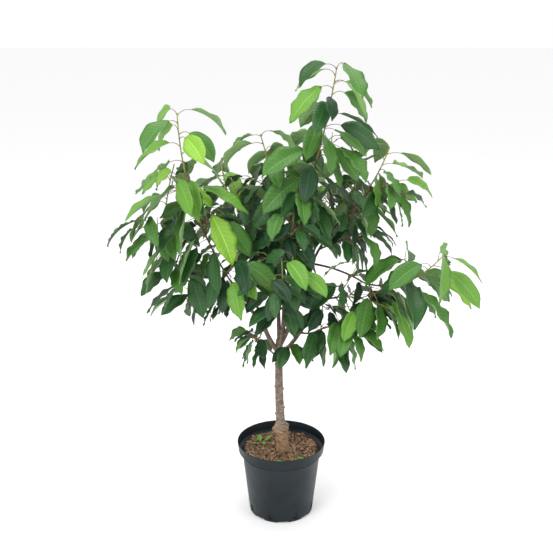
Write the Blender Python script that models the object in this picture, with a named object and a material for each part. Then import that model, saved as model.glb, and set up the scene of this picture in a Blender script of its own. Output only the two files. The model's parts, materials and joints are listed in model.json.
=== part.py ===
"""Potted young cherry tree: nursery pot, potting mix, trunk, boughs and masses of foliage.

Metres, +Z up. The origin is the middle of the pot's flat underside.
Lengths in the tables are millimetres and are scaled by MM where they are read.
"""

import random
from collections import namedtuple
from math import cos, exp, pi, radians, sin, tau

import bmesh
import bpy
from mathutils import Matrix, Vector
from mathutils.bvhtree import BVHTree

MM = 0.001
GAP = 0.3 * MM
CUT_GAP = 0.36 * MM
UP = Vector((0.0, 0.0, 1.0))

# Nursery pot
POT_HEIGHT = 241 * MM
POT_FOOT_RADIUS = 102 * MM
POT_SHOULDER_RADIUS = 125 * MM
POT_BAND_HEIGHT = 33 * MM
POT_BAND_RADIUS = 136 * MM
POT_RIM_RADIUS = 140 * MM
POT_WALL = 2.4 * MM
POT_FLOOR = 3.0 * MM
POT_FOOT_RING = 7 * MM
POT_CHANNEL_RISE = 6 * MM
POT_DISC_RADIUS = 60 * MM
POT_REST_RADIUS = 40 * MM
POT_SEGMENTS = 32
DRAIN_COUNT = 8
DRAIN_WIDTH = 14 * MM
DRAIN_HEIGHT = 24 * MM
DRAIN_START = 10 * MM
DRAIN_TURN = radians(26)
NOTCH_WIDTH = 36 * MM
NOTCH_HEIGHT = 5 * MM

# Potting mix
MIX_LEVEL = 205 * MM
MIX_EDGE = 212 * MM
MIX_HOLLOW = 3 * MM
MIX_BED_RADIUS = 30 * MM

# Trunk: a rootstock foot, the swollen graft and the grafted stem up to the fork
TRUNK_FOOT = Vector((6, 0, 205.3)) * MM
TRUNK_TOP = Vector((-6, 2, 588)) * MM
TRUNK_BOW = Vector((-6, 0, 0)) * MM
TRUNK_THICK = 15.6 * MM
TRUNK_THIN = 10.8 * MM
ROOTSTOCK_EXTRA = 4.2 * MM
FLARE = 2.6 * MM
FLARE_RISE = 12 * MM
GRAFT_HEIGHT = 80 * MM
GRAFT_SWELL = 7.5 * MM
GRAFT_SPREAD = 15 * MM
GRAFT_STEP = 6 * MM
TRUNK_SIDES = 10
TRUNK_RINGS = 14
RING_CROWDING = 1.35
BOUGH_SIDES = 6
BOUGH_RINGS = 5

# Growth rule: one stem a mass, side twigs from the stem, leaves on both
STEM_THICK = 2.8 * MM
STEM_THIN = 1.7 * MM
STEM_LEAD = 0.25
STEM_BARE = 0.16
STEM_RINGS = 6
TWIG_SIDES = 3
TWIG_RINGS = 3
TWIG_THICK = 1.9 * MM
TWIG_THIN = 1.5 * MM
TWIG_FIRST = 0.06
TWIG_SPAN = 0.72
TWIG_LENGTHS = (0.8, 1.25)
TWIG_BENDS = (0.8, 1.2)
TWIG_LIFTS = (0.0, 0.25)
TWIG_STEP = radians(50)
TWIG_FREE = 0.2
TWIG_BARE = 0.35
TWIG_LEAVES = 3
TWIG_LEAF_SIZE = 0.9
TWIG_TRIES = 4
LEAF_TRIES = 5
LEAF_LAST = 0.985
LEAF_SIZES = (0.82, 1.12)
LEAF_WANDER = 0.5
LEAF_RISES = (-0.5, 0.85)
LEAF_NOD = 0.15
LEAF_FALL = (radians(12), radians(64))
LEAF_DROOP = (radians(10), radians(30))
LEAF_ROLL = radians(26)
LEAF_LIGHT_ROLL = radians(48)
YOUNG_RISE = radians(26)
YOUNG_FALL = radians(12)
YOUNG_ARCH = radians(30)
YOUNG_SHARE = 4
LEAF_TURN = radians(144)
TWIG_TURN = radians(137.5)
TWIG_ANGLE = radians(52)
PETIOLE_ANGLE = radians(58)
PETIOLE_SHARE = 0.30
PETIOLE_SIZES = (0.85, 1.2)
PETIOLE_RADIUS = 1.1 * MM
PETIOLE_CORNERS = (pi / 6, pi * 5 / 6, pi * 3 / 2)
BLADE_SHAPE = ((0.38, 1.0), (0.74, 0.68))
BLADE_WIDTH = 0.25
BLADE_FOLD = radians(14)
BEND_RATE = 1.15
MIDLINE_STEPS = 24
ROOT_FREE = 14 * MM
CLEARANCE = 1.2 * MM
CROWN_FLOOR = 470 * MM
REACH_MARKS = 6
FIRST_SEED = 1

Bough = namedtuple("Bough", "parent at tip bow thick thin")
BOUGHS = {
    "bough_left": Bough("trunk", 0.88, (-62, -30, 678), (-6, -4, -4), 8.0, 6.6),
    "bough_left_outer": Bough("bough_left", 0.93, (-149, -70, 798), (-5, 0, -12), 5.4, 4.0),
    "bough_left_end": Bough("bough_left_outer", 0.62, (-205, -62, 765), (0, 0, -7), 3.8, 3.0),
    "bough_left_low": Bough("bough_left_outer", 0.36, (-142, -26, 722), (0, 0, 4), 3.2, 2.8),
    "bough_left_inner": Bough("bough_left", 0.88, (-92, 25, 792), (-6, 8, -6), 4.6, 3.6),
    "bough_centre": Bough("trunk", 0.96, (-20, 30, 800), (4, 0, 0), 6.0, 4.6),
    "bough_leader": Bough("trunk", 0.90, (22, 4, 845), (7, -2, 0), 7.0, 5.2),
    "bough_heart": Bough("bough_leader", 0.62, (6, -46, 838), (0, -6, -4), 3.8, 3.2),
    "bough_top": Bough("bough_leader", 0.95, (60, -18, 1010), (-4, 0, 0), 4.3, 3.5),
    "bough_right": Bough("trunk", 0.93, (98, 2, 854), (8, 4, -6), 7.4, 5.2),
    "bough_right_upper": Bough("bough_right", 0.95, (165, 0, 955), (-4, 0, 4), 4.2, 3.4),
    "bough_right_inner": Bough("bough_right", 0.86, (118, 62, 905), (-4, 6, 0), 3.8, 3.2),
    "bough_right_small": Bough("bough_right_upper", 0.30, (176, -20, 912), (4, -4, 4), 3.0, 2.7),
    "bough_right_long": Bough("bough_right", 0.93, (245, -52, 790), (4, 0, 8), 3.6, 2.9),
    "bough_low_right": Bough("trunk", 0.84, (104, -6, 702), (6, -2, -6), 7.0, 5.2),
    "bough_low_shoot": Bough("bough_low_right", 0.52, (112, -54, 640), (4, 0, -6), 3.4, 2.9),
    "bough_front": Bough("trunk", 0.94, (4, -104, 728), (2, -10, -8), 4.6, 3.4),
    "bough_back": Bough("trunk", 0.92, (-12, 118, 742), (0, 10, -10), 6.2, 5.0),
    "bough_back_top": Bough("bough_back", 0.95, (-4, 178, 900), (0, 10, 0), 3.8, 3.2),
    "bough_back_left": Bough("bough_back", 0.92, (-108, 180, 852), (-8, 6, -6), 4.0, 3.2),
    "bough_back_right": Bough("bough_back", 0.88, (92, 184, 842), (8, 6, -6), 4.0, 3.2),
    "bough_spur_left": Bough("trunk", 0.82, (-52, -24, 578), (0, 0, 2), 3.4, 2.9),
    "bough_spur_right": Bough("trunk", 0.82, (14, -34, 572), (0, 0, 3), 3.2, 2.9),
}

Mass = namedtuple("Mass", "bough tip bow twigs twig leaves leaf reach")
MASSES = {
    "foliage_top": Mass("bough_top", (151, -70, 1422), (6, -4, 0), 2, 60, 20, 138, 270),
    "foliage_left_long": Mass("bough_left_outer", (-284, -150, 1308), (-34, -14, 0), 3, 60, 21, 142, 270),
    "foliage_right_end": Mass("bough_right_long", (460, -150, 906), (8, -6, -14), 2, 60, 14, 156, 250),
    "foliage_right_upper": Mass("bough_right_upper", (314, 10, 1184), (12, 0, -12), 3, 70, 15, 125, 240),
    "foliage_centre": Mass("bough_centre", (-62, 14, 1222), (30, 6, 0), 4, 80, 16, 108, 230),
    "foliage_left_end": Mass("bough_left_end", (-306, -62, 1150), (-60, -4, -66), 4, 70, 15, 124, 240),
    "foliage_low_shoot": Mass("bough_low_shoot", (234, -130, 735), (4, -4, -8), 2, 60, 12, 118, 220),
    "foliage_low_right": Mass("bough_low_right", (334, -60, 706), (0, -6, 10), 5, 90, 12, 112, 220),
    "foliage_left_low": Mass("bough_left_low", (-214, -40, 733), (0, 0, 6), 2, 50, 6, 78, 170),
    "foliage_right_small": Mass("bough_right_small", (256, -40, 934), (0, 0, 8), 2, 60, 6, 98, 200),
    "foliage_right_inner": Mass("bough_right_inner", (208, 70, 1030), (0, 10, 0), 5, 80, 6, 100, 220),
    "foliage_left_inner": Mass("bough_left_inner", (-150, 30, 1090), (10, 10, 0), 5, 90, 8, 105, 220),
    "foliage_heart": Mass("bough_heart", (4, -76, 1004), (2, -8, 0), 5, 85, 6, 92, 200),
    "foliage_front": Mass("bough_front", (0, -200, 900), (0, -14, 0), 4, 80, 6, 98, 200),
    "foliage_back_top": Mass("bough_back_top", (6, 190, 1120), (0, 16, 0), 4, 80, 9, 108, 220),
    "foliage_back_left": Mass("bough_back_left", (-190, 250, 1080), (-10, 10, -10), 4, 85, 11, 110, 220),
    "foliage_back_right": Mass("bough_back_right", (190, 250, 1060), (10, 10, -10), 4, 85, 11, 110, 220),
    "foliage_tuft_left": Mass("bough_spur_left", (-90, -44, 614), (0, 0, 6), 1, 40, 7, 80, 150),
    "foliage_tuft_right": Mass("bough_spur_right", (30, -62, 592), (0, 0, 4), 0, 40, 5, 72, 140),
}
Path = namedtuple("Path", "start control end")
Leaf = namedtuple("Leaf", "root out rise fall droop length petiole roll")


def path_between(start, end, bow):
    """A curve from start to end whose middle stands off the straight line by bow."""
    return Path(start, (start + end) / 2 + bow * 2, end)


def along(path, t):
    return path.start * (1 - t) ** 2 + path.control * (2 * t * (1 - t)) + path.end * t**2


def heading(path, t):
    return ((path.control - path.start) * (1 - t) + (path.end - path.control) * t).normalized()


def sideways(direction):
    """Two unit vectors square to a direction and to each other."""
    first = direction.cross(Vector((0.0, 1.0, 0.0))).normalized()
    return first, direction.cross(first).normalized()


def ring_square_to(direction, middle, radius, sides):
    across, over = sideways(direction)
    turns = [tau * side / sides for side in range(sides)]
    return [middle + (across * cos(a) + over * sin(a)) * radius for a in turns]


def ring_round(path, t, radius, sides):
    return ring_square_to(heading(path, t), along(path, t), radius, sides)


def lofted(rings):
    """Points and outward faces of a closed skin over rings of points, the last of which may be one point."""
    points = [point for ring in rings for point in ring]
    faces = [tuple(reversed(range(len(rings[0]))))]
    base = 0
    for ring, following in zip(rings, rings[1:]):
        nearest = base + len(ring)
        for i in range(len(ring)):
            j = (i + 1) % len(ring)
            if len(following) == 1:
                faces.append((base + i, base + j, nearest))
            else:
                faces.append((base + i, base + j, nearest + j, nearest + i))
        base = nearest
    if len(rings[-1]) > 1:
        faces.append(tuple(range(base, base + len(rings[-1]))))
    return points, faces


def tapered_rings(path, thick, thin, sides, count):
    shares = [ring / count for ring in range(count + 1)]
    return [ring_round(path, t, thick + (thin - thick) * t, sides) for t in shares]


def tube(path, thick, thin, sides, count):
    """A limb that tapers evenly along its path."""
    return lofted(tapered_rings(path, thick, thin, sides, count))


def trunk_path():
    return path_between(TRUNK_FOOT, TRUNK_TOP, TRUNK_BOW)


def trunk_radius(t):
    """Even taper, with the thicker rootstock below the graft, the swollen graft and a flared foot."""
    height = t * (TRUNK_TOP - TRUNK_FOOT).length
    taper = TRUNK_THICK + (TRUNK_THIN - TRUNK_THICK) * t
    rootstock = ROOTSTOCK_EXTRA / (1 + exp((height - GRAFT_HEIGHT) / GRAFT_STEP))
    graft = GRAFT_SWELL * exp(-(((height - GRAFT_HEIGHT) / GRAFT_SPREAD) ** 2))
    flare = FLARE * exp(-height / FLARE_RISE)
    return taper + rootstock + graft + flare


def trunk_rings(extra):
    """Rings up the trunk, crowded towards its foot, which is cut level."""
    path = trunk_path()
    shares = [(ring / TRUNK_RINGS) ** RING_CROWDING for ring in range(TRUNK_RINGS + 1)]
    rings = [ring_round(path, t, trunk_radius(t) + extra, TRUNK_SIDES) for t in shares]
    rings[0] = ring_square_to(UP, path.start, trunk_radius(0.0) + extra, TRUNK_SIDES)
    return rings


def limb_path(name):
    """The path of a limb. A bough starts on its parent's middle line."""
    if name == "trunk":
        return trunk_path()
    bough = BOUGHS[name]
    start = along(limb_path(bough.parent), bough.at)
    return path_between(start, Vector(bough.tip) * MM, Vector(bough.bow) * MM)


def limb_skin(name, extra=0.0):
    """The skin of a limb, or with extra above 0 one that stands off it all round and at its end."""
    path = limb_path(name)
    if name == "trunk":
        rings = trunk_rings(extra)
    else:
        bough = BOUGHS[name]
        rings = tapered_rings(path, bough.thick * MM + extra, bough.thin * MM + extra, BOUGH_SIDES, BOUGH_RINGS)
    rings[-1] = [point + heading(path, 1.0) * extra for point in rings[-1]]
    return lofted(rings)


def mass_seed(name):
    """Each mass draws its own numbers, by its place in the list."""
    return FIRST_SEED + list(MASSES).index(name)


def stem_path(name):
    """The path of a mass's stem, which goes on from its bough's tip a hair clear of it."""
    mass = MASSES[name]
    bough = limb_path(mass.bough)
    start = bough.end + heading(bough, 1.0) * GAP
    end = Vector(mass.tip) * MM
    bow = Vector(mass.bow) * MM
    level = heading(bough, 1.0) * (end - start).length * STEM_LEAD
    return path_between(start, end, bow * (1 - STEM_LEAD) + (level - (end - start) * STEM_LEAD) / 2)


def stem_skin(name, extra=0.0):
    """A stem whose first face lies flat to the end of its bough."""
    path = stem_path(name)
    rings = tapered_rings(path, STEM_THICK + extra, STEM_THIN + extra, TWIG_SIDES, STEM_RINGS)
    square = heading(limb_path(MASSES[name].bough), 1.0)
    rings[0] = ring_square_to(square, path.start, STEM_THICK + extra, TWIG_SIDES)
    return lofted(rings)


def twig_skin(path, extra=0.0):
    return tube(path, TWIG_THICK + extra, TWIG_THIN + extra, TWIG_SIDES, TWIG_RINGS)


def leaf_midline(leaf):
    """Points along a leaf: the petiole rises and bends over, and the blade hangs from it ever steeper."""
    length = leaf.petiole + leaf.length
    split = leaf.petiole / length
    points = [leaf.root.copy()]
    for index in range(MIDLINE_STEPS):
        share = (index + 0.5) / MIDLINE_STEPS
        if share < split:
            slope = leaf.rise - (leaf.rise + leaf.fall) * (share / split) ** BEND_RATE
        else:
            slope = -leaf.fall - leaf.droop * (share - split) / (1 - split)
        points.append(points[-1] + (leaf.out * cos(slope) + UP * sin(slope)) * (length / MIDLINE_STEPS))
    return points


def on_midline(points, share):
    """The point and the direction at a share of the midline's length."""
    place = min(max(share, 0.0), 1.0) * (len(points) - 1)
    index = min(int(place), len(points) - 2)
    ahead = points[index + 1] - points[index]
    return points[index] + ahead * (place - index), ahead.normalized()


def leaf_skin(leaf, extra=0.0, first=0.0):
    """A coarse closed leaf: a three-sided petiole and a folded blade that ends in a point.

    With first above 0 the petiole starts that share of the way along, clear of its twig."""
    midline = leaf_midline(leaf)
    split = leaf.petiole / (leaf.petiole + leaf.length)
    level = UP.cross(leaf.out)
    thin = PETIOLE_RADIUS + extra
    root, tip = on_midline(midline, first)[0], on_midline(midline, split)[0]
    over = (tip - root).normalized().cross(level)
    corners = [(level * cos(a) + over * sin(a)) * thin for a in PETIOLE_CORNERS]
    rings = [[end + corner for corner in corners] for end in (root, tip)]
    for share, width in BLADE_SHAPE:
        point, ahead = on_midline(midline, split + (1 - split) * share)
        across = Matrix.Rotation(leaf.roll, 3, ahead) @ level
        over = ahead.cross(across)
        half = leaf.length * BLADE_WIDTH * width + thin
        edge = over * (half * sin(BLADE_FOLD) + extra)
        rings.append([point + across * half + edge, point - across * half + edge, point - over * thin])
    rings.append([midline[-1] + ahead * extra])
    return lofted(rings)


def bounded(skin):
    """A skin's middle, its reach from there and a tree of its faces."""
    points, faces = skin
    middle = sum(points, Vector()) / len(points)
    reach = max((point - middle).length for point in points)
    return middle, reach, BVHTree.FromPolygons(points, faces)


def touch(one, other):
    apart = (one[0] - other[0]).length
    return apart < one[1] + other[1] and bool(one[2].overlap(other[2]))


class Taken:
    """The room that limbs, twigs and leaves already fill.

    Things of one mass may meet at their roots, so each is kept twice: whole, for the other masses,
    and free of its root, for its own mass."""

    def __init__(self):
        self.filled = []

    def add(self, owner, whole, free):
        self.filled.append((owner, bounded(whole), bounded(free)))

    def has_room_for(self, owner, whole, free):
        whole, free = bounded(whole), bounded(free)
        for other_owner, other_whole, other_free in self.filled:
            if other_owner == owner and touch(free, other_free):
                return False
            if other_owner != owner and touch(whole, other_whole):
                return False
        return True


def inside_space(points, stem, reach):
    """Whether all the points lie within reach of the stem and above the bare trunk."""
    marks = [along(stem, share / REACH_MARKS) for share in range(REACH_MARKS + 1)]
    for point in points:
        if point.z < CROWN_FLOOR or min((point - mark).length for mark in marks) > reach:
            return False
    return True


def side_direction(path, t, azimuth, angle):
    across, over = sideways(heading(path, t))
    side = across * cos(azimuth) + over * sin(azimuth)
    return (heading(path, t) * cos(angle) + side * sin(angle)).normalized()


def grown_twig(stem, t, azimuth, length, rng):
    """A side twig that leaves its stem at an angle and turns up a little."""
    direction = side_direction(stem, t, azimuth, TWIG_ANGLE * rng.uniform(*TWIG_BENDS))
    start = along(stem, t)
    end = start + direction * length + UP * length * rng.uniform(*TWIG_LIFTS)
    return Path(start, start + direction * length * 0.5, end)


def grown_leaf(path, t, azimuth, length, rng):
    """A leaf that springs from a twig, arches over on its petiole and hangs, its face turned out of the crown.

    Young ones, near the tip, stand up more and arch over further."""
    direction = side_direction(path, t, azimuth + rng.uniform(-LEAF_WANDER, LEAF_WANDER), PETIOLE_ANGLE)
    level = Vector((direction.x, direction.y, 0.0))
    if level.length < 0.05:
        level = Vector((cos(azimuth), sin(azimuth), 0.0))
    youth = t**YOUNG_SHARE
    rise = min(max(direction.z, LEAF_RISES[0]), LEAF_RISES[1])
    rise += YOUNG_RISE * youth + rng.uniform(-LEAF_NOD, LEAF_NOD)
    fall = rng.uniform(*LEAF_FALL) * (1 - youth) + YOUNG_FALL * youth
    droop = rng.uniform(*LEAF_DROOP) + YOUNG_ARCH * youth
    size = length * rng.uniform(*LEAF_SIZES)
    petiole = size * PETIOLE_SHARE * rng.uniform(*PETIOLE_SIZES)
    root, level = along(path, t), level.normalized()
    to_light = Vector((root.x, root.y, 0.0)).normalized()
    roll = rng.uniform(-LEAF_ROLL, LEAF_ROLL) - LEAF_LIGHT_ROLL * UP.cross(level).dot(to_light)
    return Leaf(root, level, rise, fall, droop, size, petiole, roll)


def grow_twigs(name, taken, rng):
    """The side twigs of one mass that have room."""
    mass = MASSES[name]
    stem = stem_path(name)
    twigs = []
    for index in range(mass.twigs):
        t = TWIG_FIRST + TWIG_SPAN * index / mass.twigs
        for attempt in range(TWIG_TRIES):
            azimuth = TWIG_TURN * index + mass_seed(name) + attempt * TWIG_STEP
            length = mass.twig * MM * rng.uniform(*TWIG_LENGTHS)
            twig = grown_twig(stem, t, azimuth, length, rng)
            whole = twig_skin(twig, CLEARANCE)
            free = twig_skin(Path(along(twig, TWIG_FREE), along(twig, (1 + TWIG_FREE) / 2), twig.end))
            if inside_space(whole[0], stem, mass.reach * MM) and taken.has_room_for(name, whole, free):
                taken.add(name, whole, whole)
                twigs.append(twig)
                break
    return twigs


def grow_leaves(name, path, count, first, length, taken, rng):
    """The leaves of one twig or stem that have room, placed by a steady turn round it."""
    mass = MASSES[name]
    stem = stem_path(name)
    leaves = []
    phase = rng.uniform(0, tau)
    for index in range(count):
        t = first + (LEAF_LAST - first) * index / (count - 1)
        for _ in range(LEAF_TRIES):
            leaf = grown_leaf(path, t, phase + LEAF_TURN * index, length, rng)
            whole = leaf_skin(leaf, CLEARANCE)
            free = leaf_skin(leaf, CLEARANCE, ROOT_FREE / (leaf.petiole + leaf.length))
            if inside_space(free[0], stem, mass.reach * MM) and taken.has_room_for(name, whole, free):
                taken.add(name, whole, free)
                leaves.append(leaf)
                break
    return leaves


def grow_mass(name, taken):
    """The side twigs and the leaves of one mass, which fill the room that is left."""
    mass = MASSES[name]
    rng = random.Random(mass_seed(name))
    twigs = grow_twigs(name, taken, rng)
    leaves = grow_leaves(name, stem_path(name), mass.leaves, STEM_BARE, mass.leaf * MM, taken, rng)
    for twig in twigs:
        leaves += grow_leaves(name, twig, TWIG_LEAVES, TWIG_BARE, mass.leaf * MM * TWIG_LEAF_SIZE, taken, rng)
    return twigs, leaves


def limbs_and_stems():
    """The room that the limbs and the stems of all the masses take."""
    taken = Taken()
    for name in ("trunk", *BOUGHS):
        limb = limb_skin(name, CLEARANCE)
        taken.add(name, limb, limb)
    for name in MASSES:
        stem = stem_skin(name, CLEARANCE)
        taken.add(name, stem, stem)
    return taken


def material(name, colour, roughness):
    made = bpy.data.materials.new(name)
    made.use_nodes = True
    shader = made.node_tree.nodes["Principled BSDF"]
    shader.inputs["Base Color"].default_value = (*colour, 1.0)
    shader.inputs["Roughness"].default_value = roughness
    shader.inputs["Metallic"].default_value = 0.0
    return made


def add_object(name, skin, finish=None):
    points, faces = skin
    mesh = bpy.data.meshes.new(name)
    mesh.from_pydata([tuple(point) for point in points], [], faces)
    mesh.update()
    made = bpy.data.objects.new(name, mesh)
    bpy.context.scene.collection.objects.link(made)
    if finish:
        mesh.materials.append(finish)
    return made


def helper(made):
    made.hide_render = True
    made.display_type = "WIRE"
    return made


def applied(made):
    """Replaces an object's mesh by what its modifiers make of it."""
    bpy.context.view_layer.update()
    graph = bpy.context.evaluated_depsgraph_get()
    result = bpy.data.meshes.new_from_object(made.evaluated_get(graph))
    made.modifiers.clear()
    old = made.data
    made.data = result
    bpy.data.meshes.remove(old)


def remove(things):
    for thing in things:
        bpy.data.objects.remove(thing)


def drop_scraps(made):
    """Keeps only the largest body of a mesh."""
    bm = bmesh.new()
    bm.from_mesh(made.data)
    bodies = []
    left = set(bm.verts)
    while left:
        body, edge = set(), [left.pop()]
        while edge:
            vert = edge.pop()
            body.add(vert)
            for link in vert.link_edges:
                other = link.other_vert(vert)
                if other in left:
                    left.remove(other)
                    edge.append(other)
        bodies.append(body)
    keep = max(bodies, key=len)
    bmesh.ops.delete(bm, geom=[vert for vert in bm.verts if vert not in keep], context="VERTS")
    bm.to_mesh(made.data)
    bm.free()


def turned_mesh(name, profile, segments):
    """A body turned round Z from a profile that runs from the axis round the outside back to the axis."""
    bm = bmesh.new()
    verts = [bm.verts.new((radius, 0.0, height)) for radius, height in profile]
    edges = [bm.edges.new(pair) for pair in zip(verts, verts[1:])]
    bmesh.ops.spin(
        bm, geom=verts + edges, cent=(0, 0, 0), axis=(0, 0, 1), dvec=(0, 0, 0), angle=tau, steps=segments
    )
    bmesh.ops.remove_doubles(bm, verts=bm.verts, dist=0.01 * MM)
    bmesh.ops.recalc_face_normals(bm, faces=bm.faces)
    mesh = bpy.data.meshes.new(name)
    bm.to_mesh(mesh)
    bm.free()
    return mesh


def pot_outer(height):
    """The outer radius of the pot's tapering wall at a height below the rim band."""
    share = height / (POT_HEIGHT - POT_BAND_HEIGHT)
    return POT_FOOT_RADIUS + (POT_SHOULDER_RADIUS - POT_FOOT_RADIUS) * share


def pot_profile():
    shoulder = POT_HEIGHT - POT_BAND_HEIGHT
    outside = [
        (POT_REST_RADIUS, 0.0),
        (POT_DISC_RADIUS, 0.0),
        (POT_DISC_RADIUS + POT_WALL, POT_CHANNEL_RISE),
        (POT_FOOT_RADIUS - POT_FOOT_RING, POT_CHANNEL_RISE),
        (POT_FOOT_RADIUS - POT_FOOT_RING, 0.0),
        (POT_FOOT_RADIUS, 0.0),
        (pot_outer(shoulder), shoulder),
        (POT_BAND_RADIUS, shoulder + POT_WALL),
        (POT_RIM_RADIUS, POT_HEIGHT),
    ]
    inside = [
        (POT_RIM_RADIUS - POT_WALL, POT_HEIGHT),
        (POT_BAND_RADIUS - POT_WALL, shoulder + 3 * POT_WALL),
        (pot_outer(shoulder) - POT_WALL, shoulder),
        (pot_outer(POT_CHANNEL_RISE + POT_FLOOR) - POT_WALL, POT_CHANNEL_RISE + POT_FLOOR),
        (0.0, POT_CHANNEL_RISE + POT_FLOOR),
    ]
    return outside + inside


def close_foot(mesh):
    """Closes the middle of the underside with a three-sided flat face round the origin."""
    bm = bmesh.new()
    bm.from_mesh(mesh)
    rim = [edge for edge in bm.edges if edge.is_boundary]
    corners = [Matrix.Rotation(tau * i / 3, 3, "Z") @ Vector((POT_REST_RADIUS / 2, 0, 0)) for i in range(3)]
    verts = [bm.verts.new(corner) for corner in corners]
    inner = [bm.edges.new((verts[i], verts[(i + 1) % 3])) for i in range(3)]
    bmesh.ops.bridge_loops(bm, edges=rim + inner)
    bm.faces.new(verts)
    bmesh.ops.recalc_face_normals(bm, faces=bm.faces)
    bm.to_mesh(mesh)
    bm.free()


def box_skin(low, high):
    """Points and outward faces of a box."""
    corners = [(x, y) for x, y in ((low.x, low.y), (high.x, low.y), (high.x, high.y), (low.x, high.y))]
    return lofted([[Vector((x, y, z)) for x, y in corners] for z in (low.z, high.z)])


def drain_cutter():
    """The drain slots through the wall's foot and the notches in the foot ring, as one set of blocks."""
    points, faces = [], []
    for index in range(DRAIN_COUNT):
        slot_turn = DRAIN_TURN + tau * index / DRAIN_COUNT
        notch_turn = slot_turn - tau / DRAIN_COUNT / 2
        inner, outer = POT_FOOT_RADIUS - 2.2 * POT_FOOT_RING, POT_FOOT_RADIUS * 1.2
        slot = box_skin(
            Vector((-DRAIN_WIDTH / 2, -outer, DRAIN_START)),
            Vector((DRAIN_WIDTH / 2, -inner, DRAIN_START + DRAIN_HEIGHT)),
        )
        notch = box_skin(
            Vector((-NOTCH_WIDTH / 2, -outer, -NOTCH_HEIGHT)),
            Vector((NOTCH_WIDTH / 2, -inner, NOTCH_HEIGHT)),
        )
        for turn, (corners, sides) in ((slot_turn, slot), (notch_turn, notch)):
            spin = Matrix.Rotation(turn, 3, "Z")
            faces += [tuple(i + len(points) for i in side) for side in sides]
            points += [spin @ corner for corner in corners]
    return helper(add_object("drain_cutter", (points, faces)))


def make_pot():
    mesh = turned_mesh("pot", pot_profile(), POT_SEGMENTS)
    close_foot(mesh)
    mesh.materials.append(material("pot_plastic", (0.012, 0.02, 0.026), 0.42))
    pot = bpy.data.objects.new("pot", mesh)
    bpy.context.scene.collection.objects.link(pot)
    cut = pot.modifiers.new("drains", "BOOLEAN")
    cut.operation = "DIFFERENCE"
    cut.object = drain_cutter()
    mesh.shade_smooth()
    mesh.set_sharp_from_angle(angle=radians(35))


def make_mix():
    """The potting mix, which fills the pot a hair clear of its wall and floor."""
    floor = POT_CHANNEL_RISE + POT_FLOOR + GAP
    shoulder = POT_HEIGHT - POT_BAND_HEIGHT
    edge = pot_outer(shoulder) - POT_WALL - 1.5 * GAP
    profile = [
        (0.0, floor),
        (pot_outer(floor) - POT_WALL - 1.5 * GAP, floor),
        (edge, shoulder - GAP),
        (edge - GAP, MIX_EDGE),
        ((edge + MIX_BED_RADIUS) / 2, MIX_LEVEL - MIX_HOLLOW),
        (MIX_BED_RADIUS, MIX_LEVEL),
        (0.0, MIX_LEVEL),
    ]
    mesh = turned_mesh("potting_mix", profile, POT_SEGMENTS)
    mesh.materials.append(material("bark_mix", (0.16, 0.10, 0.055), 0.9))
    bpy.context.scene.collection.objects.link(bpy.data.objects.new("potting_mix", mesh))


def make_limbs(bark):
    """The trunk, and the boughs cut a hair clear of the limbs they spring from or pass."""
    add_object("trunk", limb_skin("trunk"), bark).data.shade_smooth()
    done = ["trunk"]
    for name in BOUGHS:
        bough = add_object(name, limb_skin(name), bark)
        tree = BVHTree.FromPolygons(*limb_skin(name, CUT_GAP))
        cutters = []
        for other in done:
            if not tree.overlap(BVHTree.FromPolygons(*limb_skin(other, CUT_GAP))):
                continue
            cutters.append(helper(add_object(other + "_clear", limb_skin(other, CUT_GAP))))
            cut = bough.modifiers.new("clear of " + other, "BOOLEAN")
            cut.operation = "DIFFERENCE"
            cut.object = cutters[-1]
        applied(bough)
        remove(cutters)
        drop_scraps(bough)
        bough.data.shade_smooth()
        done.append(name)


def make_masses(finish):
    """Each mass of foliage, fused into one body from its stem, its twigs and its leaves."""
    taken = limbs_and_stems()
    for name in MASSES:
        twigs, leaves = grow_mass(name, taken)
        stem = add_object(name, stem_skin(name), finish)
        parts = bpy.data.collections.new(name + "_parts")
        bpy.context.scene.collection.children.link(parts)
        skins = [twig_skin(twig) for twig in twigs]
        skins += [leaf_skin(leaf) for leaf in leaves]
        for skin in skins:
            piece = add_object(name + "_part", skin)
            bpy.context.scene.collection.objects.unlink(piece)
            parts.objects.link(piece)
        fuse = stem.modifiers.new("fuse", "BOOLEAN")
        fuse.operation = "UNION"
        fuse.operand_type = "COLLECTION"
        fuse.collection = parts
        fuse.solver = "MANIFOLD"
        applied(stem)
        remove(list(parts.objects))
        bpy.data.collections.remove(parts)
        drop_scraps(stem)


def main():
    remove(list(bpy.data.objects))
    make_pot()
    make_mix()
    make_limbs(material("bark", (0.13, 0.095, 0.07), 0.85))
    make_masses(material("leaf_green", (0.06, 0.16, 0.02), 0.5))


main()
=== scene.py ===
"""Potted young cherry tree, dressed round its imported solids.

The tree grows by the same rule as the solids: limbs, stems, side twigs and leaves come out where they do
there. Finer twigs and smaller leaves then fill the room that is left within the same reach. Each leaf has
its own fold, waves and droop, the limbs get bark with its relief, and the pot and its mix get their detail.
"""

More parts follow.
